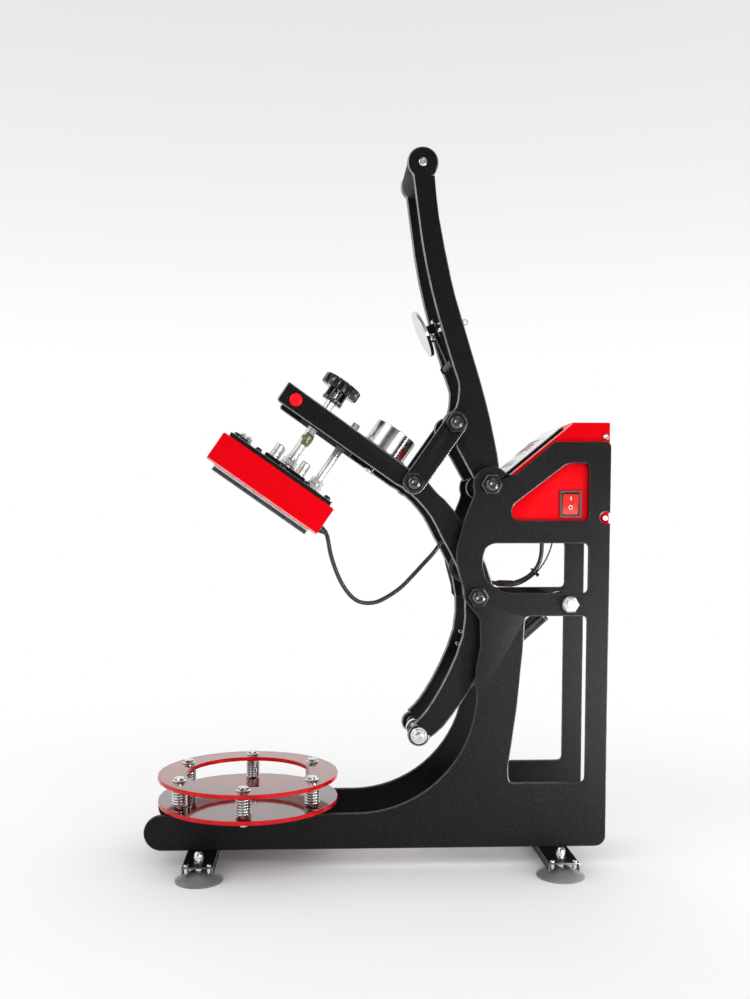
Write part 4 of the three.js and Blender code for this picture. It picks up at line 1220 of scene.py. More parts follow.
@dataclass
class Leads:
    """The heater lead from the head to the box, its grommets, and the thin earth strand tied to it."""

    radius: float = 2.6
    strand: float = 1.0
    lead_entry: Point = (207.5, 20, 388.4)
    strand_entry: Point = (221, 20, 388.4)

    def head_route(self) -> list[Point]:
        """The lead's way in the open, from the head to the arm, in millimetres."""
        return [
            (-60.6, 0, 389.4), (-58.2, 0, 387.6), (-56.1, 0, 383.6), (-54.4, 0, 376), (-51.8, 1, 362),
            (-46.5, 2, 344.8), (-40.4, 4, 330.2), (-33.1, 6, 318), (-25.8, 8, 309.4), (-17.3, 10, 303.7),
            (-7.4, 12, 301.7), (3.6, 14, 302.7), (14.7, 15, 307.5), (33.1, 17, 319.5), (48, 19, 334.1),
            (62.7, 20, 349.9), (73.8, 21, 361.8), (82.8, 22, 373.2), (86.6, 22, 376.1), (91, 22, 377),
            (96.2, 22, 375.7), (100.2, 22, 372), (102, 22, 366.6), (101.3, 22, 360.5), (98.9, 22, 354.6),
            (96.6, 22, 349.3), (95.8, 22, 344), (96.7, 22, 339.2), (98.4, 22, 336.36),
        ]

    def box_route(self) -> list[Point]:
        """The lead's way behind the plates, from the arm to the box, in millimetres."""
        return [
            (100, 22, 335), (104, 22, 331.6), (110, 22, 328.2), (118, 22, 326.8), (129.6, 22, 326.4),
            (145.5, 22, 325.7), (159.9, 22, 324.6), (176.4, 22, 326.2), (192.9, 22, 334.3),
            (202.5, 21, 345.5), (206.6, 20, 358.6), (207.5, 20, 373.3), (207.5, 20, 390),
        ]

    def strand_route(self) -> list[Point]:
        """The thin strand's way from the box down to the lead, in millimetres."""
        return [
            (221, 20, 389), (221, 20, 380), (219.6, 20, 372), (216, 20, 361), (211, 20, 351),
            (204.5, 19.4, 342), (196.5, 18.6, 334), (188, 18.3, 328), (179, 18.4, 323.6),
            (170.5, 19.2, 321.6),
        ]

    @staticmethod
    def rounded(route: Sequence[Point], steps: int = 6) -> list[Vector]:
        """Rounds a route through its points with a centripetal curve.

        Args:
            route: the points, in millimetres.
            steps: steps from point to point.

        Returns:
            The smooth path, in metres.
        """
        points = [Vector(p) * MM for p in route]
        points = [points[0] * 2 - points[1], *points, points[-1] * 2 - points[-2]]
        path: list[Vector] = []
        for a, b, c, d in zip(points, points[1:], points[2:], points[3:]):
            t1 = (b - a).length ** 0.5
            t2 = t1 + (c - b).length ** 0.5
            t3 = t2 + (d - c).length ** 0.5
            for i in range(steps):
                share = i / steps
                t = t1 + (t2 - t1) * share
                ab, bc, cd = a.lerp(b, t / t1), b.lerp(c, share), c.lerp(d, (t - t2) / (t3 - t2))
                abc, bcd = ab.lerp(bc, t / t2), bc.lerp(cd, (t - t1) / (t3 - t1))
                path.append(abc.lerp(bcd, share))
        return [*path, points[-2]]

    @staticmethod
    def length(path: Sequence[Vector]) -> float:
        """Length of a path, in metres."""
        return sum((b - a).length for a, b in zip(path, path[1:]))

    def build(self) -> None:
        """Builds the lead, its grommets, the strand and the tie."""
        path = self.rounded([*self.head_route(), *self.box_route()])
        lead = painted(Bench.tube("heater_lead", path, self.radius), CORD)
        Bench.smooth(lead, ROUND)
        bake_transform(lead, Body.BASE.value, Body.ARM.value, start=(0.150, 0.022, 0.33), end=(0.050, 0.022, 0.33))
        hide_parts("heater_cord_head", "heater_cord_box")
        LOG.info("heater_lead: %.3f m", self.length(path))
        thin = self.rounded(self.strand_route())
        strand = painted(Bench.tube("earth_strand", thin, self.strand), CORD)
        fitted(strand, Body.BASE, "cord_black", degrees=ROUND)
        self.sleeves(path)

    def sleeves(self, path: Sequence[Vector]) -> None:
        """Builds the boot at the head, the grommets in the box, the tie and the heat-shrunk sleeve.

        Args:
            path: the lead's smooth path.
        """
        boot = Bench.turned("boot", [
            (4.4, -3), (4.4, 0), (4.0, 0.6), (3.5, 0.8), (3.5, 1.6), (3.8, 1.8), (3.8, 2.6), (3.2, 3.0),
            (2.7, 4.2), (2.62, 5.0),
        ], 28)
        boot.data.transform(axis_frame(tuple(path[0] / MM), tuple(path[4] - path[0])))
        fitted(painted(boot, BLACK_PLASTIC), Body.ARM, "cord_black")
        ring = Bench.turned("box_grommet", [
            (2.5, 0), (6.6, 0), (7.4, 0.6), (7.4, 1.6), (6.0, 2.6), (3.6, 4.0), (2.5, 4.0),
        ], 28, True)
        small = Bench.turned("strand_grommet", [
            (0.9, 0), (3, 0), (3.4, 0.5), (3.2, 1.4), (1.6, 2.6), (0.9, 2.6),
        ], 20, True)
        for grommet, entry in ((ring, self.lead_entry), (small, self.strand_entry)):
            grommet.data.transform(axis_frame(entry, (0, 0, -1)))
            fitted(painted(grommet, BLACK_PLASTIC), Body.BASE, "cord_black")
        band = Bench.turned("cable_tie", [
            (3.0, -1.3), (4.6, -1.3), (4.9, -0.9), (4.9, 0.9), (4.6, 1.3), (3.0, 1.3),
        ], 24, True)
        lock = Bench.block("tie_lock", (3.6, -2.2, -2), (8.2, 2.2, 2))
        tie = Bench.joined([band, lock], "cable_tie")
        tie.data.transform(axis_frame((198.0, 20.6, 339.6), (0.72, 0, 0.69), (0.9, -0.5, -0.9)))
        fitted(painted(tie, BLACK_PLASTIC), Body.BASE, "cord_black")
        shrunk = Bench.turned("heat_shrink", [
            (2.6, 0), (3.2, 1), (4.1, 4), (4.1, 20), (3.2, 23), (2.6, 24),
        ], 24)
        shrunk.data.transform(axis_frame((151.0, 21.6, 324.9), (1, -0.05, -0.02)))
        fitted(painted(shrunk, CORD), Body.BASE, "cord_black")


@dataclass
class SideFrame:
    """The two side plates on their foot bars, the cups, and the bolts across the frame."""

    outer: float = 58.0
    feet_x: tuple[float, float] = (-201.0, 206.5)
    cup_y: float = 97.0
    bar_top: float = 20.6
    screw_y: float = 109.8
    screw_step: float = 12.8

    def build(self, head: Piece) -> None:
        """Builds the frame.

        Args:
            head: the pattern of the cap heads.
        """
        for side in ("right", "left"):
            plated(f"side_plate_{side}", Body.BASE, "black_powder", 1.0, (FRAME, FRAME_EDGE_HIGHLIGHT))
        Axle("arm_axle", ARM_PIVOT, self.outer, Body.BASE).build(head)
        Axle("lever_axle", LEVER_PIVOT, self.outer, Body.BASE).build(head)
        self.tie_bolt()
        for end in ("front", "rear"):
            plated(f"foot_bar_{end}", Body.BASE, "black_powder", 0.8, (FRAME, EDGE))
        self.cups()
        self.foot_screws()

    def tie_bolt(self) -> None:
        """Builds the bright tie bolt with its washers and hexagon heads."""
        end = Bench.turned("end", [
            (9.4, 0), (9.4, 0.9), (8.8, 1.2), (9.0, 1.3, 6), (10, 2.0, 6), (10, 4.4, 6), (8.6, 5.6, 6),
            (5.6, 5.9), (5.2, 5.2), (4.9, 5.2), (4.6, 6.0), (2.6, 6.2), (0.4, 6.2),
        ], 60)
        half, seat = self.outer + 0.2, self.outer + 0.1
        CrossBolt("tie_bolt", TIE_BOLT, half, seat, Body.BASE, PLATED).build(end)

    def cups(self) -> None:
        """Builds the suction cups, each with its stud and domed nut."""
        cup = Bench.turned("cup_pattern", [
            (0.5, 2.6), (12, 2.4), (21, 1.4), (25.4, 0.3), (26.4, 0), (27, 0.4), (27, 1.4), (26.2, 2.2),
            (23.5, 3.3), (19.5, 5.0), (15.5, 7.2), (12, 9.3), (10, 9.9), (9, 10.4), (8.6, 10.5),
        ], 56)
        stud = Bench.turned("stud", [(3.9, 10.4), (3.9, self.bar_top)], 20)
        nut = Fasteners.nut("nut", 5.2, 5.4, 3.3, 7.2)
        nut.data.transform(shifted(z=self.bar_top))
        for part in (cup, stud, nut):
            painted(part, RUBBER, STEEL)
        for part in (stud, nut):
            slotted(part, 1, lambda c, n: True)
        Bench.joined([cup, stud, nut], "cup_pattern")
        for end, x in zip(("front", "rear"), self.feet_x):
            for side in Side:
                name = f"suction_cup_{end}_{side.name.lower()}"
                made = Bench.copy(cup, f"{name}_moulded", shifted(x, side.value * self.cup_y))
                fitted(made, Body.BASE, "suction_rubber", name)
        Bench.remove(cup)

    def foot_screws(self) -> None:
        """Builds the small screws at the ends of the foot bars, with their nuts underneath."""
        screw = Fasteners.screw("screw", 2.7, 2.2)
        under = Bench.turned("under", [
            (1.6, -0.5), (1.6, -1.6), (2.8, -1.8, 6), (3.1, -2.2, 6), (3.1, -6, 6), (2.6, -6.6), (1.5, -6.8),
            (1.5, -8), (0.4, -8.2),
        ], 24)
        places = [
            shifted(x + step, y, self.bar_top - 0.2)
            for x in self.feet_x
            for step in (-self.screw_step, self.screw_step)
            for y in (-self.screw_y, self.screw_y)
        ]
        scattered(Bench.joined([screw, under], "foot_screws"), places, Body.BASE)


@dataclass
class BallTable:
    """Two red acrylic discs on springs, on a bracket between the plates."""

    centre_x: float = -151.5
    bolt_circle: float = 89.0
    count: int = 6
    spring_low: float = 69.8
    spring_high: float = 93.7
    coil: float = 7.6
    wire: float = 1.5
    turns: float = 6.6
    closed: float = 0.9
    travel: float = 5.0

    def bolt_at(self, index: int) -> tuple[float, float]:
        """Place of a bolt, in millimetres."""
        angle = math.tau * index / self.count - math.pi / 2
        return self.centre_x + self.bolt_circle * math.cos(angle), self.bolt_circle * math.sin(angle)

    def build(self) -> None:
        """Builds the bracket, discs, bolts and springs."""
        plated("table_bracket", Body.BASE, "black_powder", 0.8, (FRAME, EDGE))
        for node, body in (("lower_disc", Body.BASE), ("upper_ring", Body.RING)):
            disc = Bench.copied(node, f"{node}_acrylic")
            Bench.eased(disc, 0.5, 1)
            painted(disc, ACRYLIC, ACRYLIC_RIM_GLOW)
            # The discs' edges take the painted glow.
            slotted(disc, 1, lambda c, n: abs(n.z) < 0.9)
            fitted(disc, body, "red_acrylic", node, degrees=FLAT)
        self.bolts()
        self.springs()

    def bolts(self) -> None:
        """Builds the bolts: domed heads on washers, shanks and nuts."""
        head = Bench.turned("head", [
            (8, 99.3), (8, 100.2), (7.4, 100.5), (6.3, 100.5), (6.6, 100.9, 6), (6.6, 102.4, 6), (6.0, 103.3),
            (4.4, 104.0), (2.4, 104.3), (0.4, 104.3),
        ], 36)
        shank = Bench.turned("shank", [(3.9, 60), (3.9, 99.6)], 20)
        nut = Bench.turned("nut", [
            (3.0, 59.2), (5.6, 59.2), (6.4, 59.7, 6), (6.4, 63.2, 6), (6.2, 63.4), (6.5, 63.4), (6.5, 64.2),
        ], 36)
        bolt = painted(Bench.joined([head, shank, nut], "bolt_pattern"), STEEL)
        for i in range(self.count):
            name = f"table_bolt_{i + 1}"
            made = Bench.copy(bolt, f"{name}_turned", shifted(*self.bolt_at(i)) @ about_z(0.5 * i))
            fitted(made, Body.BASE, "bright_steel", name)
        Bench.remove(bolt)

    def coiled(self) -> list[Vector]:
        """The wire's way in a spring: closed turns at both ends and even ones between them."""
        steps, pitch = 34, self.wire * 2 + 0.05
        low, high = self.spring_low + self.wire, self.spring_high - self.wire
        inner = high - low - 2 * pitch * self.closed
        path = []
        for i in range(int(self.turns * steps) + 1):
            t = i / steps
            rise = pitch * (min(t, self.closed) + max(0, t - self.turns + self.closed))
            rise += inner * min(1, max(0, (t - self.closed) / (self.turns - 2 * self.closed)))
            angle = math.tau * t
            path.append(Vector((self.coil * math.cos(angle), self.coil * math.sin(angle), low + rise)) * MM)
        return path

    def springs(self) -> None:
        """Builds the coil springs."""
        pattern = painted(Bench.tube("spring_pattern", self.coiled(), self.wire, 3), STEEL)
        for i in range(self.count):
            x, y = self.bolt_at(i)
            name = f"table_spring_{i + 1}"
            spring = Bench.copy(pattern, f"{name}_coiled", shifted(x, y) @ about_z(1.1 * i))
            fitted(spring, Body.BASE, "bright_steel", name, degrees=ROUND)
            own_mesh(spring)
        Bench.remove(pattern)


@dataclass
class ControlBox:
    """The red box with its sloping panel, switch, rear cover and mains inlet."""

    half: float = 51.7
    display_at: float = 52.0
    digit_low: float = 5.05
    digit_high: float = 5.35
    figures: tuple[tuple[int, float, float], ...] = (
        (1, 15.5, 1.0), (8, 4.5, 1.0), (0, -6.5, 1.0), (5, -16.5, 0.62), (0, -23.0, 0.62),
    )
    cover_face: float = 266.0
    inlet_z: float = 422.0

    def build(self) -> None:
        """Builds the box and what it carries."""
        box = Bench.copied("control_box", "control_box_formed")
        Bench.eased(box, 1.4)
        painted(box, RED_PAINT, RED_LIP_HIGHLIGHT)
        # The eased edge beside the panel takes the painted pink highlight.
        slotted(box, 1, self.on_lip_highlight, SLOPE)
        fitted(box, Body.BASE, "red_paint", "control_box", degrees=FLAT)
        self.panel()
        self.digits()
        self.keys()
        self.switch()
        self.back()
        screw = Fasteners.screw("flange_screws", 3.7, 2.6)
        places = [outward(264.0, z, self.half, side) for z in (497.4, 404.5) for side in Side]
        scattered(screw, places, Body.BASE)

    def on_lip_highlight(self, centre: Vector, normal: Vector) -> bool:
        """Whether a face of the box is on the eased edge beside the panel, which takes a painted highlight."""
        beside = abs(abs(centre.y) - self.half + 0.7) < 0.65
        return beside and -1.6 < centre.z < -0.05 and -2 < centre.x < 90

    def panel(self) -> None:
        """Builds the silver panel with its gasket, and the display's lens and frame; their pale silver is partly a
        painted reflection.
        """
        face = Bench.copied("display_panel", "display_panel_formed")
        Bench.eased(face, 0.9)
        painted(face, GASKET, SILVER_AND_PAINTED_REFLECTION)
        slotted(face, 1, lambda c, n: c.z > 1.2, SLOPE)
        fitted(face, Body.BASE, "silver_panel", "display_panel", degrees=FLAT)
        gasket = Bench.rim("panel_gasket", (-0.9, -50.4, 0.15), (84.9, 50.4, 2.5), 2.5)
        lens = Bench.block("display_lens", (39.4, -29.6, 4.2), (64.6, 29.6, 5.15), 0.25)
        border = Bench.rim("display_frame", (37.2, -31.8, 5.2), (66.8, 31.8, 5.9), 2.0)
        for part in (gasket, lens, border):
            part.data.transform(SLOPE)
        fitted(painted(gasket, GASKET), Body.BASE, "black_plastic", degrees=FLAT)
        fitted(painted(lens, LENS), Body.BASE, "black_plastic", degrees=FLAT)
        # The display frame is painted pale silver as a painted reflection of the pale room.
        fitted(painted(border, SILVER_AND_PAINTED_REFLECTION), Body.BASE, "grey_plastic")

    def keys(self) -> None:
        """Builds the panel's three keys, each on its own body."""
        for body in (Body.KEY_1, Body.KEY_2, Body.KEY_3):
            node = f"panel_{body.value}"
            key = Bench.copied(node, f"{node}_moulded")
            Bench.eased(key, 0.5)
            fitted(painted(key, KEY_WHITE), body, "grey_plastic", node)

    def digits(self) -> None:
        """Builds the display's lit figures from bars: three large ones and two small."""
        lit = {0: "abcdef", 1: "bc", 5: "afgcd", 8: "abcdefg"}
        bars = [self.bar(letter, y, size) for number, y, size in self.figures for letter in lit[number]]
        figures = Bench.joined(bars, "display_figures")
        figures.data.transform(SLOPE)
        fitted(painted(figures, DIGIT), Body.BASE, "grey_plastic")

    def bar(self, letter: str, y: float, size: float) -> Piece:
        """One bar of a figure.

        Args:
            letter: which of the seven bars.
            y: the figure's middle across the panel; the panel is read from its low edge.
            size: share of the full size.

        Returns:
            The bar on the slope.
        """
        tall, wide, thick = 7.0 * size, 3.4 * size, 0.75 * size
        up = {"a": tall, "g": 0, "d": -tall, "b": tall / 2, "f": tall / 2}.get(letter, -tall / 2)
        aside = {"b": -wide, "c": -wide, "f": wide, "e": wide}.get(letter, 0)
        long = tall / 2 - 0.5 * size if aside else thick
        broad = thick if aside else wide - 0.6 * size
        x, middle = self.display_at + up, y + aside
        low = (x - long, middle - broad, self.digit_low)
        return Bench.block("bar", low, (x + long, middle + broad, self.digit_high), 0.12, 1)

    def switch(self) -> None:
        """Builds the rocker switch in its bezel."""
        plated("switch_bezel", Body.BASE, "grey_plastic", 0.5, (BEZEL,))
        rocker = Bench.copied("rocker", "rocker_moulded")
        Bench.eased(rocker, 0.5)
        fitted(painted(rocker, ROCKER_RED), Body.ROCKER, "rocker_red", "rocker", degrees=FLAT)
        line = Bench.block("line", (-0.6, -2.75, 4.7), (0.6, -2.1, 9.1), 0.15, 1)
        ring = Bench.hoop("ring", (0, -2.45, -3.4), 2.1, 0.42)
        marks = Bench.joined([line, ring], "rocker_marks")
        marks.data.transform(ROCKER)
        fitted(painted(marks, MARK), Body.ROCKER, "grey_plastic")

    @staticmethod
    def rearward(x: float, y: float, z: float) -> Matrix:
        """A frame on the box's rear, Z outwards, in millimetres."""
        return axis_frame((x, y, z), (1, 0, 0), (0, 1, 0))

    def back(self) -> None:
        """Builds the rear cover with its louvres and screws, and the mains inlet with its pins."""
        plated("rear_cover", Body.BASE, "black_powder", 0.4, (FRAME, EDGE))
        slats = []
        for row in range(6):
            z = 458 + row * 7.0
            for y in (-21.0, 21.0):
                low = (self.cover_face, y - 15, z - 1.2)
                slats.append(Bench.block("slat", low, (self.cover_face + 1.6, y + 15, z + 1.2)))
        fitted(painted(Bench.joined(slats, "rear_louvres"), POWDER), Body.BASE, "black_powder")
        corners = [self.rearward(self.cover_face + 0.2, y, z) for y in (-44, 44) for z in (396, 506)]
        scattered(Fasteners.screw("cover_screws", 3.0, 1.6), corners, Body.BASE)
        plated("mains_inlet", Body.BASE, "black_plastic", 0.7, (BLACK_PLASTIC,))
        pins = [
            Bench.block("pin", (252.6, y - 0.8, z - 2.1), (264.5, y + 0.8, z + 2.1), 0.3)
            for y, z in ((-6.5, 419), (0, 424), (6.5, 419))
        ]
        fitted(painted(Bench.joined(pins, "inlet_pins"), BRASS), Body.BASE, "bright_steel")
        ears = [self.rearward(self.cover_face + 2.0, y, self.inlet_z) for y in (-16.4, 16.4)]
        scattered(Fasteners.screw("inlet_screws", 1.5, 0.7), ears, Body.BASE)


@dataclass
class PressArm:
    """The swinging arm: its bars, spindle block, electromagnet and cross bolts."""

    magnet_at: float = -184.5
    magnet_radius: float = 26.5
    magnet_low: float = 78.0
    magnet_high: float = 107.1
    nose_at: tuple[float, float] = (-300.5, 65.0)
    tail: tuple[float, float] = (50.5, 150.5)
    outer: float = 44.2
    bar_screws: tuple[tuple[float, float], ...] = ((110.4, 264.0), (106.7, 248.9))
    bar_screw_y: float = 37.8

    def build(self) -> None:
        """Builds the arm."""
        for side in ("right", "left"):
            plated(f"arm_plate_{side}", Body.ARM, "black_powder", 1.5)
        # The spindle block between the plates takes the darker coat: painted shade.
        plated("spindle_block", Body.ARM, "black_powder", 0.9, (SHADED_INNER, EDGE))
        plated("magnet_bracket", Body.ARM, "black_powder", 0.6)
        plated("link_spacer", Body.ARM, "black_steel", 0.4, (BLACK_STEEL,))
        self.magnet()
        self.nose()
        self.tail_bolt()
        places = [axis_frame((x, self.bar_screw_y, z), (0, -1, 0)) for x, z in self.bar_screws]
        scattered(Fasteners.screw("bar_screws", 2.6, 1.6), places, Body.ARM)

    def magnet(self) -> None:
        """Builds the bright pot magnet with its pole rings, and the bolt that holds it."""
        r, low, high = self.magnet_radius, self.magnet_low, self.magnet_high
        pot = Bench.turned("electromagnet_turned", [
            (r - 0.6, low), (r, low + 0.6), (r, high - 0.8), (r - 0.8, high), (r - 5.2, high),
            (r - 5.4, high - 1.1), (14.6, high - 1.1), (14.4, high), (4.2, high), (4.0, high - 2.6),
            (0.4, high - 2.6),
        ], 72)
        hub = Bench.turned("magnet_bolt", [
            (4.2, 55), (4.2, 51.6), (6.4, 51.4, 6), (6.4, 48.6, 6), (5.4, 48.0), (0.4, 48.0),
        ], 24)
        stem = Bench.turned("stem", [(3.9, 71.6), (3.9, 51)], 20)
        for part in (pot, hub, stem):
            part.data.transform(ARM @ shifted(self.magnet_at))
        fitted(painted(pot, MAGNET), Body.ARM, "bright_steel", "electromagnet")
        fitted(painted(Bench.joined([hub, stem], "magnet_bolt"), STEEL), Body.ARM, "bright_steel")

    def nose(self) -> None:
        """Builds the nose rod with its domed red plugs."""
        x, z = self.nose_at
        place, end = ARM @ shifted(x, 0, z), self.outer
        rod = Bench.turned("rod", [(5, -end), (5, end)], 24)
        rod.data.transform(place @ axis_frame((0, 0, 0), (0, 1, 0)))
        parts = [painted(rod, BLACK_STEEL)]
        for side in Side:
            cap = Bench.turned("plug", [
                (7.5, end), (7.5, 44.9), (7.0, 45.9), (5.6, 46.5), (3.4, 46.85), (0.4, 46.9),
            ], 40)
            cap.data.transform(place @ axis_frame((0, 0, 0), (0, side.value, 0)))
            parts.append(painted(cap, RED_PLUG))
        fitted(Bench.joined(parts, "nose_rod_plugged"), Body.ARM, "red_plug", "nose_rod")

    def tail_bolt(self) -> None:
        """Builds the tail bolt with its stepped bright washers."""
        end = Bench.turned("end", [
            (10, 0), (10, 1.3), (9.4, 1.8), (8.0, 1.8), (7.8, 2.2), (7.8, 3.0), (7.2, 3.5), (5.2, 3.6),
            (5.0, 4.2), (5.0, 5.0), (4.4, 5.4), (1.8, 5.5), (1.6, 4.6), (0.3, 4.6),
        ], 48)
        CrossBolt("tail_bolt", self.tail, self.outer, self.outer, Body.ARM, STEEL).build(end)


@dataclass
class PrintHead:
    """The red head with its heating plate, spindle, guide rod and knob."""

    middle: float = -268.5
    plate_top: float = -7.5
    cover_floor: float = -47.7
    cover_end: float = -193.4
    guide_at: float = -228.5
    thread_low: float = 14.0
    thread_high: float = 70.0
    thread_step: float = 1.5
    knob_low: float = 105.0
    knob_high: float = 118.6
    knob_ribs: int = 8
    flutes: int = 14
    bolt_reach: float = 18.0
    screw_reach: float = 61.0

    def at(self, u: float, y: float = 0.0, v: float = 0.0) -> Matrix:
        """A place on the arm's own axes, in millimetres."""
        return ARM @ shifted(u, y, v)

    def build(self) -> None:
        """Builds the head and what stands on it."""
        cover = Bench.copied("head_cover", "head_cover_formed")
        Bench.eased(cover, 1.8)
        painted(cover, RED_PAINT, RED_LIP_HIGHLIGHT, BLACK_PLASTIC)
        # The cover's lower rim takes the painted pink highlight; the gland beyond the cover's end is black.
        slotted(cover, 1, lambda c, n: c.z < self.cover_floor + 1.6 and n.z < 0.3, ARM)
        slotted(cover, 2, lambda c, n: c.x > self.cover_end, ARM)
        fitted(cover, Body.HEAD, "red_paint", "head_cover", degrees=FLAT)
        plated("head_top_plate", Body.HEAD, "black_powder", 0.7)
        plated("heating_plate", Body.HEAD, "heater_casting", 0.9, (CASTING, CAST_EDGE_HIGHLIGHT))
        seam = Bench.block("heater_seam", (-332.7, -64.2, -50.2), (-204.3, 64.2, -47.75), 0.2)
        seam.data.transform(ARM)
        fitted(painted(seam, SEAM), Body.HEAD, "heater_casting", degrees=FLAT)
        self.spindle()
        self.guide()
        self.knob()
        self.fittings()

    def spindle(self) -> None:
        """Builds the threaded spindle with its collar and the grease on its thread."""
        profile = [
            (11, -7.1), (11, -0.2), (10.2, 0.7), (7, 0.8), (9, 1.0, 6), (9.6, 1.6, 6), (9.6, 7.0, 6),
            (8.6, 8.0, 6), (7.2, 8.2), (7.2, 12), (6, 12.4), (6, self.thread_low),
        ]
        height = self.thread_low
        while height < self.thread_high:
            profile += [(5.88, height + 0.4), (5.88, height + 0.8), (6, height + 1.1), (6, height + 1.5)]
            height += self.thread_step
        rod = Bench.turned("spindle_threaded", [*profile, (6, 89.4)], 28)
        rod.data.transform(self.at(self.middle))
        fitted(painted(rod, SHAFT), Body.SCREW, "bright_steel", "spindle")
        smear = Bench.turned("thread_grease", [
            (5.7, 30), (6.5, 32, 0, 3, 0.8), (7.2, 35, 0, 3, 1.5), (7.4, 39, 0, 2, 1.7), (6.9, 42, 0, 3, 1.2),
            (6.1, 45, 0, 2, 0.5), (5.7, 46),
        ], 28)
        smear.data.transform(self.at(self.middle + 1.2, -0.8) @ about_z(0.6))
        fitted(painted(smear, GREASE), Body.SCREW, "bright_steel", degrees=ROUND)

    def guide(self) -> None:
        """Builds the guide rod with its clamp nuts."""
        rod = Bench.turned("guide_rod_turned", [(5, -7.2), (5, 86.2), (4.4, 87.2), (0.4, 87.2)], 28)
        base = Bench.turned("base", [
            (10.4, -7.4), (10.4, -6.0), (8.6, -6.0), (9.4, -5.4, 6), (9.4, -0.2, 6), (8.4, 0.4), (7, 0.4),
            (7, 1.6), (8.4, 1.8, 6), (8.4, 6.2, 6), (7.2, 6.8), (5.0, 6.9),
        ], 36)
        piece = Bench.joined([rod, base], "guide_rod_turned")
        piece.data.transform(self.at(self.guide_at))
        fitted(painted(piece, SHAFT), Body.HEAD, "bright_steel", "guide_rod")

    def knob(self) -> None:
        """Builds the fluted knob over its ribbed hub, with the bright insert seen through it."""
        low, high, n = self.knob_low, self.knob_high, self.flutes
        disc = Bench.turned("disc", [
            (20, low, 0, n, 3.0), (23.2, low + 0.6, 0, n, 4.0), (24, low + 1.6, 0, n, 4.4),
            (24, high - 2.0, 0, n, 4.4), (23.2, high - 0.7, 0, n, 4.0), (21.4, high, 0, n, 3.0), (14, high),
            (13, high - 1.2), (7, high - 1.2), (6.4, high - 0.4), (0.5, high - 0.4),
        ], n * 8)
        foot = Bench.turned("foot", [
            (8, 90.2), (12.4, 90.2, 0, n, 0.8), (13, 91, 0, n, 0.9), (13, 95, 0, n, 0.9), (8, 96),
        ], n * 4)
        ribs = [Bench.block("rib", (7.0, -1.3, 94), (12.6, 1.3, 106), 0.3, 1) for _ in range(self.knob_ribs)]
        for i, rib in enumerate(ribs):
            rib.data.transform(about_z(math.tau * (i + 0.5) / self.knob_ribs))
        knob = Bench.joined([disc, foot, *ribs], "knob_moulded")
        knob.data.transform(self.at(self.middle))
        fitted(painted(knob, BLACK_PLASTIC), Body.SCREW, "black_plastic", "knob")
        insert = Bench.turned("knob_insert", [
            (6.9, 90.4), (6.9, 104), (6.2, 105), (6.2, 119.2), (5.4, 119.9), (0.4, 119.9),
        ], 32)
        insert.data.transform(self.at(self.middle, 0, -1.6))
        fitted(painted(insert, STEEL), Body.SCREW, "bright_steel")

    def fittings(self) -> None:
        """Builds what is bolted on the top plate: the bearing block and its bolts, posts and screws."""
        top = self.plate_top
        bearing = Bench.block("bearing_block", (-296, -27, top), (-241, 27, top + 5.5), 0.8)
        bearing.data.transform(ARM)
        fitted(painted(bearing, POWDER), Body.HEAD, "black_powder", degrees=FLAT)
        cap = Bench.turned("bearing_bolts", [
            (6.6, top + 5.4), (6.6, top + 6.6), (5.6, top + 6.8), (5.6, top + 12.6), (4.9, top + 13),
            (4.9, top + 13.6), (5.5, top + 13.8), (5.5, top + 21.4), (4.9, top + 22.2), (2.6, top + 22.2, 6),
            (2.6, top + 18, 6), (0.3, top + 18),
        ], 30)
        reach = self.bolt_reach
        places = [self.at(self.middle + u, y) for u in (-reach - 0.5, reach) for y in (-reach, reach)]
        scattered(cap, places, Body.HEAD, PLATED, "zinc_plate")
        post = Fasteners.nut("terminal_posts", 4.6, 5.5, 2.2)
        places = [self.at(u, y, top) for u, y in ((-329, -20), (-320, -34), (-329, 24))]
        scattered(post, places, Body.HEAD)
        screw = Fasteners.screw("plate_screws", 4.0, 3.4)
        reach = self.screw_reach
        places = [
            self.at(self.middle + u, y, top) for u in (-reach, -33, 0, 33, reach) for y in (-reach, reach)
        ]
        scattered(screw, places, Body.HEAD, BLACK_STEEL, "black_steel")
        guard = Bench.block("terminal_guard", (-336, -48, top), (-318, 14, top + 3.4), 0.6)
        guard.data.transform(ARM)
        fitted(painted(guard, BLACK_PLASTIC), Body.HEAD, "black_plastic", degrees=FLAT)


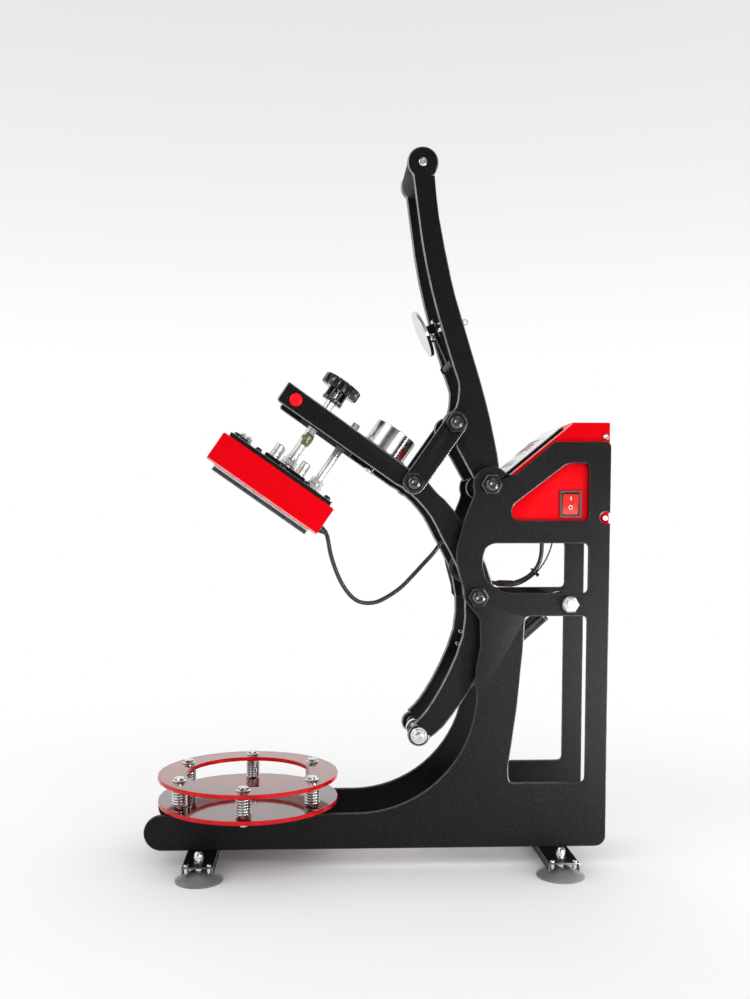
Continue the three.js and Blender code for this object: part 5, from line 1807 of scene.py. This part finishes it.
@dataclass
class HandLever:
    """The long lever with its grip, elbow bolt, links and sprung armature."""

    grip_at: tuple[float, float] = (52.6, 806.1)
    grip_half: float = 37.6
    grip_end: float = 43.9
    rib_step: float = 4.2
    crook: tuple[float, float] = (64.0, 790.0)
    crook_reach: float = 9.0
    elbow: tuple[float, float] = (91.36, 512.87)
    link_pin: tuple[float, float] = (43.1, 444.6)
    link_face: float = 51.0
    armature_pin: tuple[float, float] = (89.4, 586.1)
    nut_y: float = 37.0
    bolt_at: float = -36.0
    clip_at: float = -46.0

    def build(self, head: Piece) -> None:
        """Builds the lever and links.

        Args:
            head: the pattern of the cap heads.
        """
        for side in ("right", "left"):
            node = f"lever_plate_{side}"
            plated(node, Body.LEVER, "black_powder", 1.5, spared=self.in_crook)
        self.grip()
        Axle("elbow_bolt", self.elbow, self.link_face + 0.15, Body.LEVER, 5.0, 0).build(head)
        self.links(head)
        self.armature()
        self.stop_eye()

    def in_crook(self, place: Vector) -> bool:
        """Whether an edge lies where the bar meets its round end: a full bevel folds over itself there."""
        x, z = self.crook
        return math.hypot(place.x - x, place.z - z) < self.crook_reach

    def grip(self) -> None:
        """Builds the ribbed grip sleeve and the screws at its ends."""
        half = self.grip_half
        profile = [(15.6, -half), (16.6, -half + 0.8)]
        y = -half + 5
        while y < half - 6:
            profile += [(16.95, y), (16.95, y + 2.6), (16.3, y + 3.1), (16.3, y + 3.7)]
            y += self.rib_step
        profile += [(16.6, half - 0.8), (15.6, half)]
        sleeve = Bench.turned("grip_sleeve", profile, 48)
        sleeve.data.transform(outward(*self.grip_at, 0, Side.RIGHT))
        fitted(painted(sleeve, GRIP_RUBBER), Body.LEVER, "black_plastic", "grip")
        places = [outward(*self.grip_at, self.grip_end, side) for side in Side]
        scattered(Fasteners.screw("grip_screws", 5.2, 2.6), places, Body.LEVER)

    def links(self, head: Piece) -> None:
        """Builds the links, each with its cap head at the arm in place of the plain head of its solid.

        Args:
            head: the pattern of the cap heads.
        """
        finishes = (POWDER, EDGE, BLACK_STEEL, PIVOT_RIM_HIGHLIGHT, PIVOT_DOME)
        for side in Side:
            node = f"link_{side.name.lower()}"
            bar = Bench.copied(node, f"{node}_formed")
            Bench.edit(bar)
            Bench.choose(bar, lambda c, n: abs(c.y) > self.link_face + 0.05)
            bpy.ops.mesh.delete(type="FACE")
            bpy.ops.mesh.select_mode(type="EDGE")
            bpy.ops.mesh.select_all(action="DESELECT")
            bpy.ops.mesh.select_non_manifold()
            bpy.ops.mesh.edge_face_add()
            Bench.outwards()
            Bench.clear()
            Bench.eased(bar, 0.8, 1)
            cap = Bench.copy(head, "cap", outward(*self.link_pin, self.link_face, side))
            for face in cap.data.polygons:
                face.material_index += 2
            for part in (bar, cap):
                painted(part, *finishes)
            fitted(Bench.joined([bar, cap], f"{node}_formed"), Body.LINKS, "black_powder", node)

    def armature(self) -> None:
        """Builds the armature plate, its spring arm, clip, bolts and nuts."""
        plate = Bench.copied("armature", "armature_formed")
        Bench.eased(plate, 0.5)
        painted(plate, NICKEL, POWDER)
        slotted(plate, 1, lambda c, n: c.x > self.bolt_at, ARMATURE)
        fitted(plate, Body.ARMATURE, "zinc_plate", "armature", degrees=FLAT)
        cap = Bench.turned("armature_bolts", [
            (6.5, -11.6), (6.5, -10.4), (5.4, -10.2), (5.4, -10.0, 6), (5.4, -6.4, 6), (4.6, -5.8),
            (0.4, -5.8),
        ], 30)
        places = [ARMATURE @ shifted(self.bolt_at, y) for y in (-13, 13)]
        scattered(cap, places, Body.ARMATURE)
        clip = Bench.block("spring_clip", (-56, -6.4, 1.8), (-34, 6.4, 2.9), 0.2, 1)
        stem = Bench.turned("stem", [
            (7, -11.6), (7, -10.2), (4.4, -10), (4.4, 2.6), (7, 2.7), (7, 3.8), (6.2, 4, 6), (6.2, 8.8, 6),
            (5.2, 9.6), (3.2, 9.7), (3.2, 12), (0.4, 12.4),
        ], 30)
        stem.data.transform(shifted(self.clip_at))
        wings = Bench.joined([clip, stem], "spring_clip")
        wings.data.transform(ARMATURE)
        fitted(painted(wings, STEEL), Body.ARMATURE, "bright_steel")
        nut = Bench.turned("armature_nuts", [
            (3.8, -4), (3.8, 0.2), (6.2, 0.3, 6), (6.2, 0.6, 6), (3, 0.7),
        ], 24)
        places = [outward(*self.armature_pin, self.nut_y, side) for side in Side]
        scattered(nut, places, Body.ARMATURE, BLACK_STEEL, "black_steel")

    def stop_eye(self) -> None:
        """Builds the small screw eye that stands out from the lever's edge."""
        eye = Bench.hoop("eye", (101.8, -41, 628.4), 2.9, 0.85)
        stem = Bench.turned("stem", [(1.5, -8), (1.5, 0.4)], 14)
        stem.data.transform(axis_frame((100.2, -41, 627.8), (0.96, 0, 0.28)))
        fitted(painted(Bench.joined([eye, stem], "stop_eye"), STEEL), Body.LEVER, "bright_steel")


@dataclass
class GasSpring:
    """The gas spring between the tie bolt and the arm's tail."""

    bands: tuple[float, float] = (24.6, 151.6)

    def build(self) -> None:
        """Builds the cylinder with its end rings, and the rod."""
        plated("gas_cylinder", Body.GAS_CYLINDER, "black_steel", 0.6, (BLACK_STEEL,))
        plated("gas_rod", Body.GAS_ROD, "bright_steel", 0.3, (STEEL,))
        band = Bench.turned("cylinder_bands", [(8.8, 0), (9.3, 0.3), (9.3, 3.4), (8.8, 3.8)], 36)
        places = [GAS @ axis_frame((x, 0, 0), (1, 0, 0), (0, 1, 0)) for x in self.bands]
        # The bands take the lighter rim metal: painted highlight rings.
        scattered(band, places, Body.GAS_CYLINDER, PIVOT_RIM_HIGHLIGHT, "black_steel")


def corners() -> list[list[float]]:
    """The shown object's lowest and highest corner, as plain lists."""
    return [list(corner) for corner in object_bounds()]


def main() -> None:
    """Builds the scene, sub-assembly by sub-assembly."""
    logging.basicConfig(level=logging.INFO, format="%(message)s")
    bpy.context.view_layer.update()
    Studio().build()
    Leads().build()
    head = CapHead().pattern("cap_head")
    SideFrame().build(head)
    BallTable().build()
    ControlBox().build()
    PressArm().build()
    PrintHead().build()
    HandLever().build(head)
    GasSpring().build()
    Bench.remove(head)


if __name__ == "__main__":
    main()
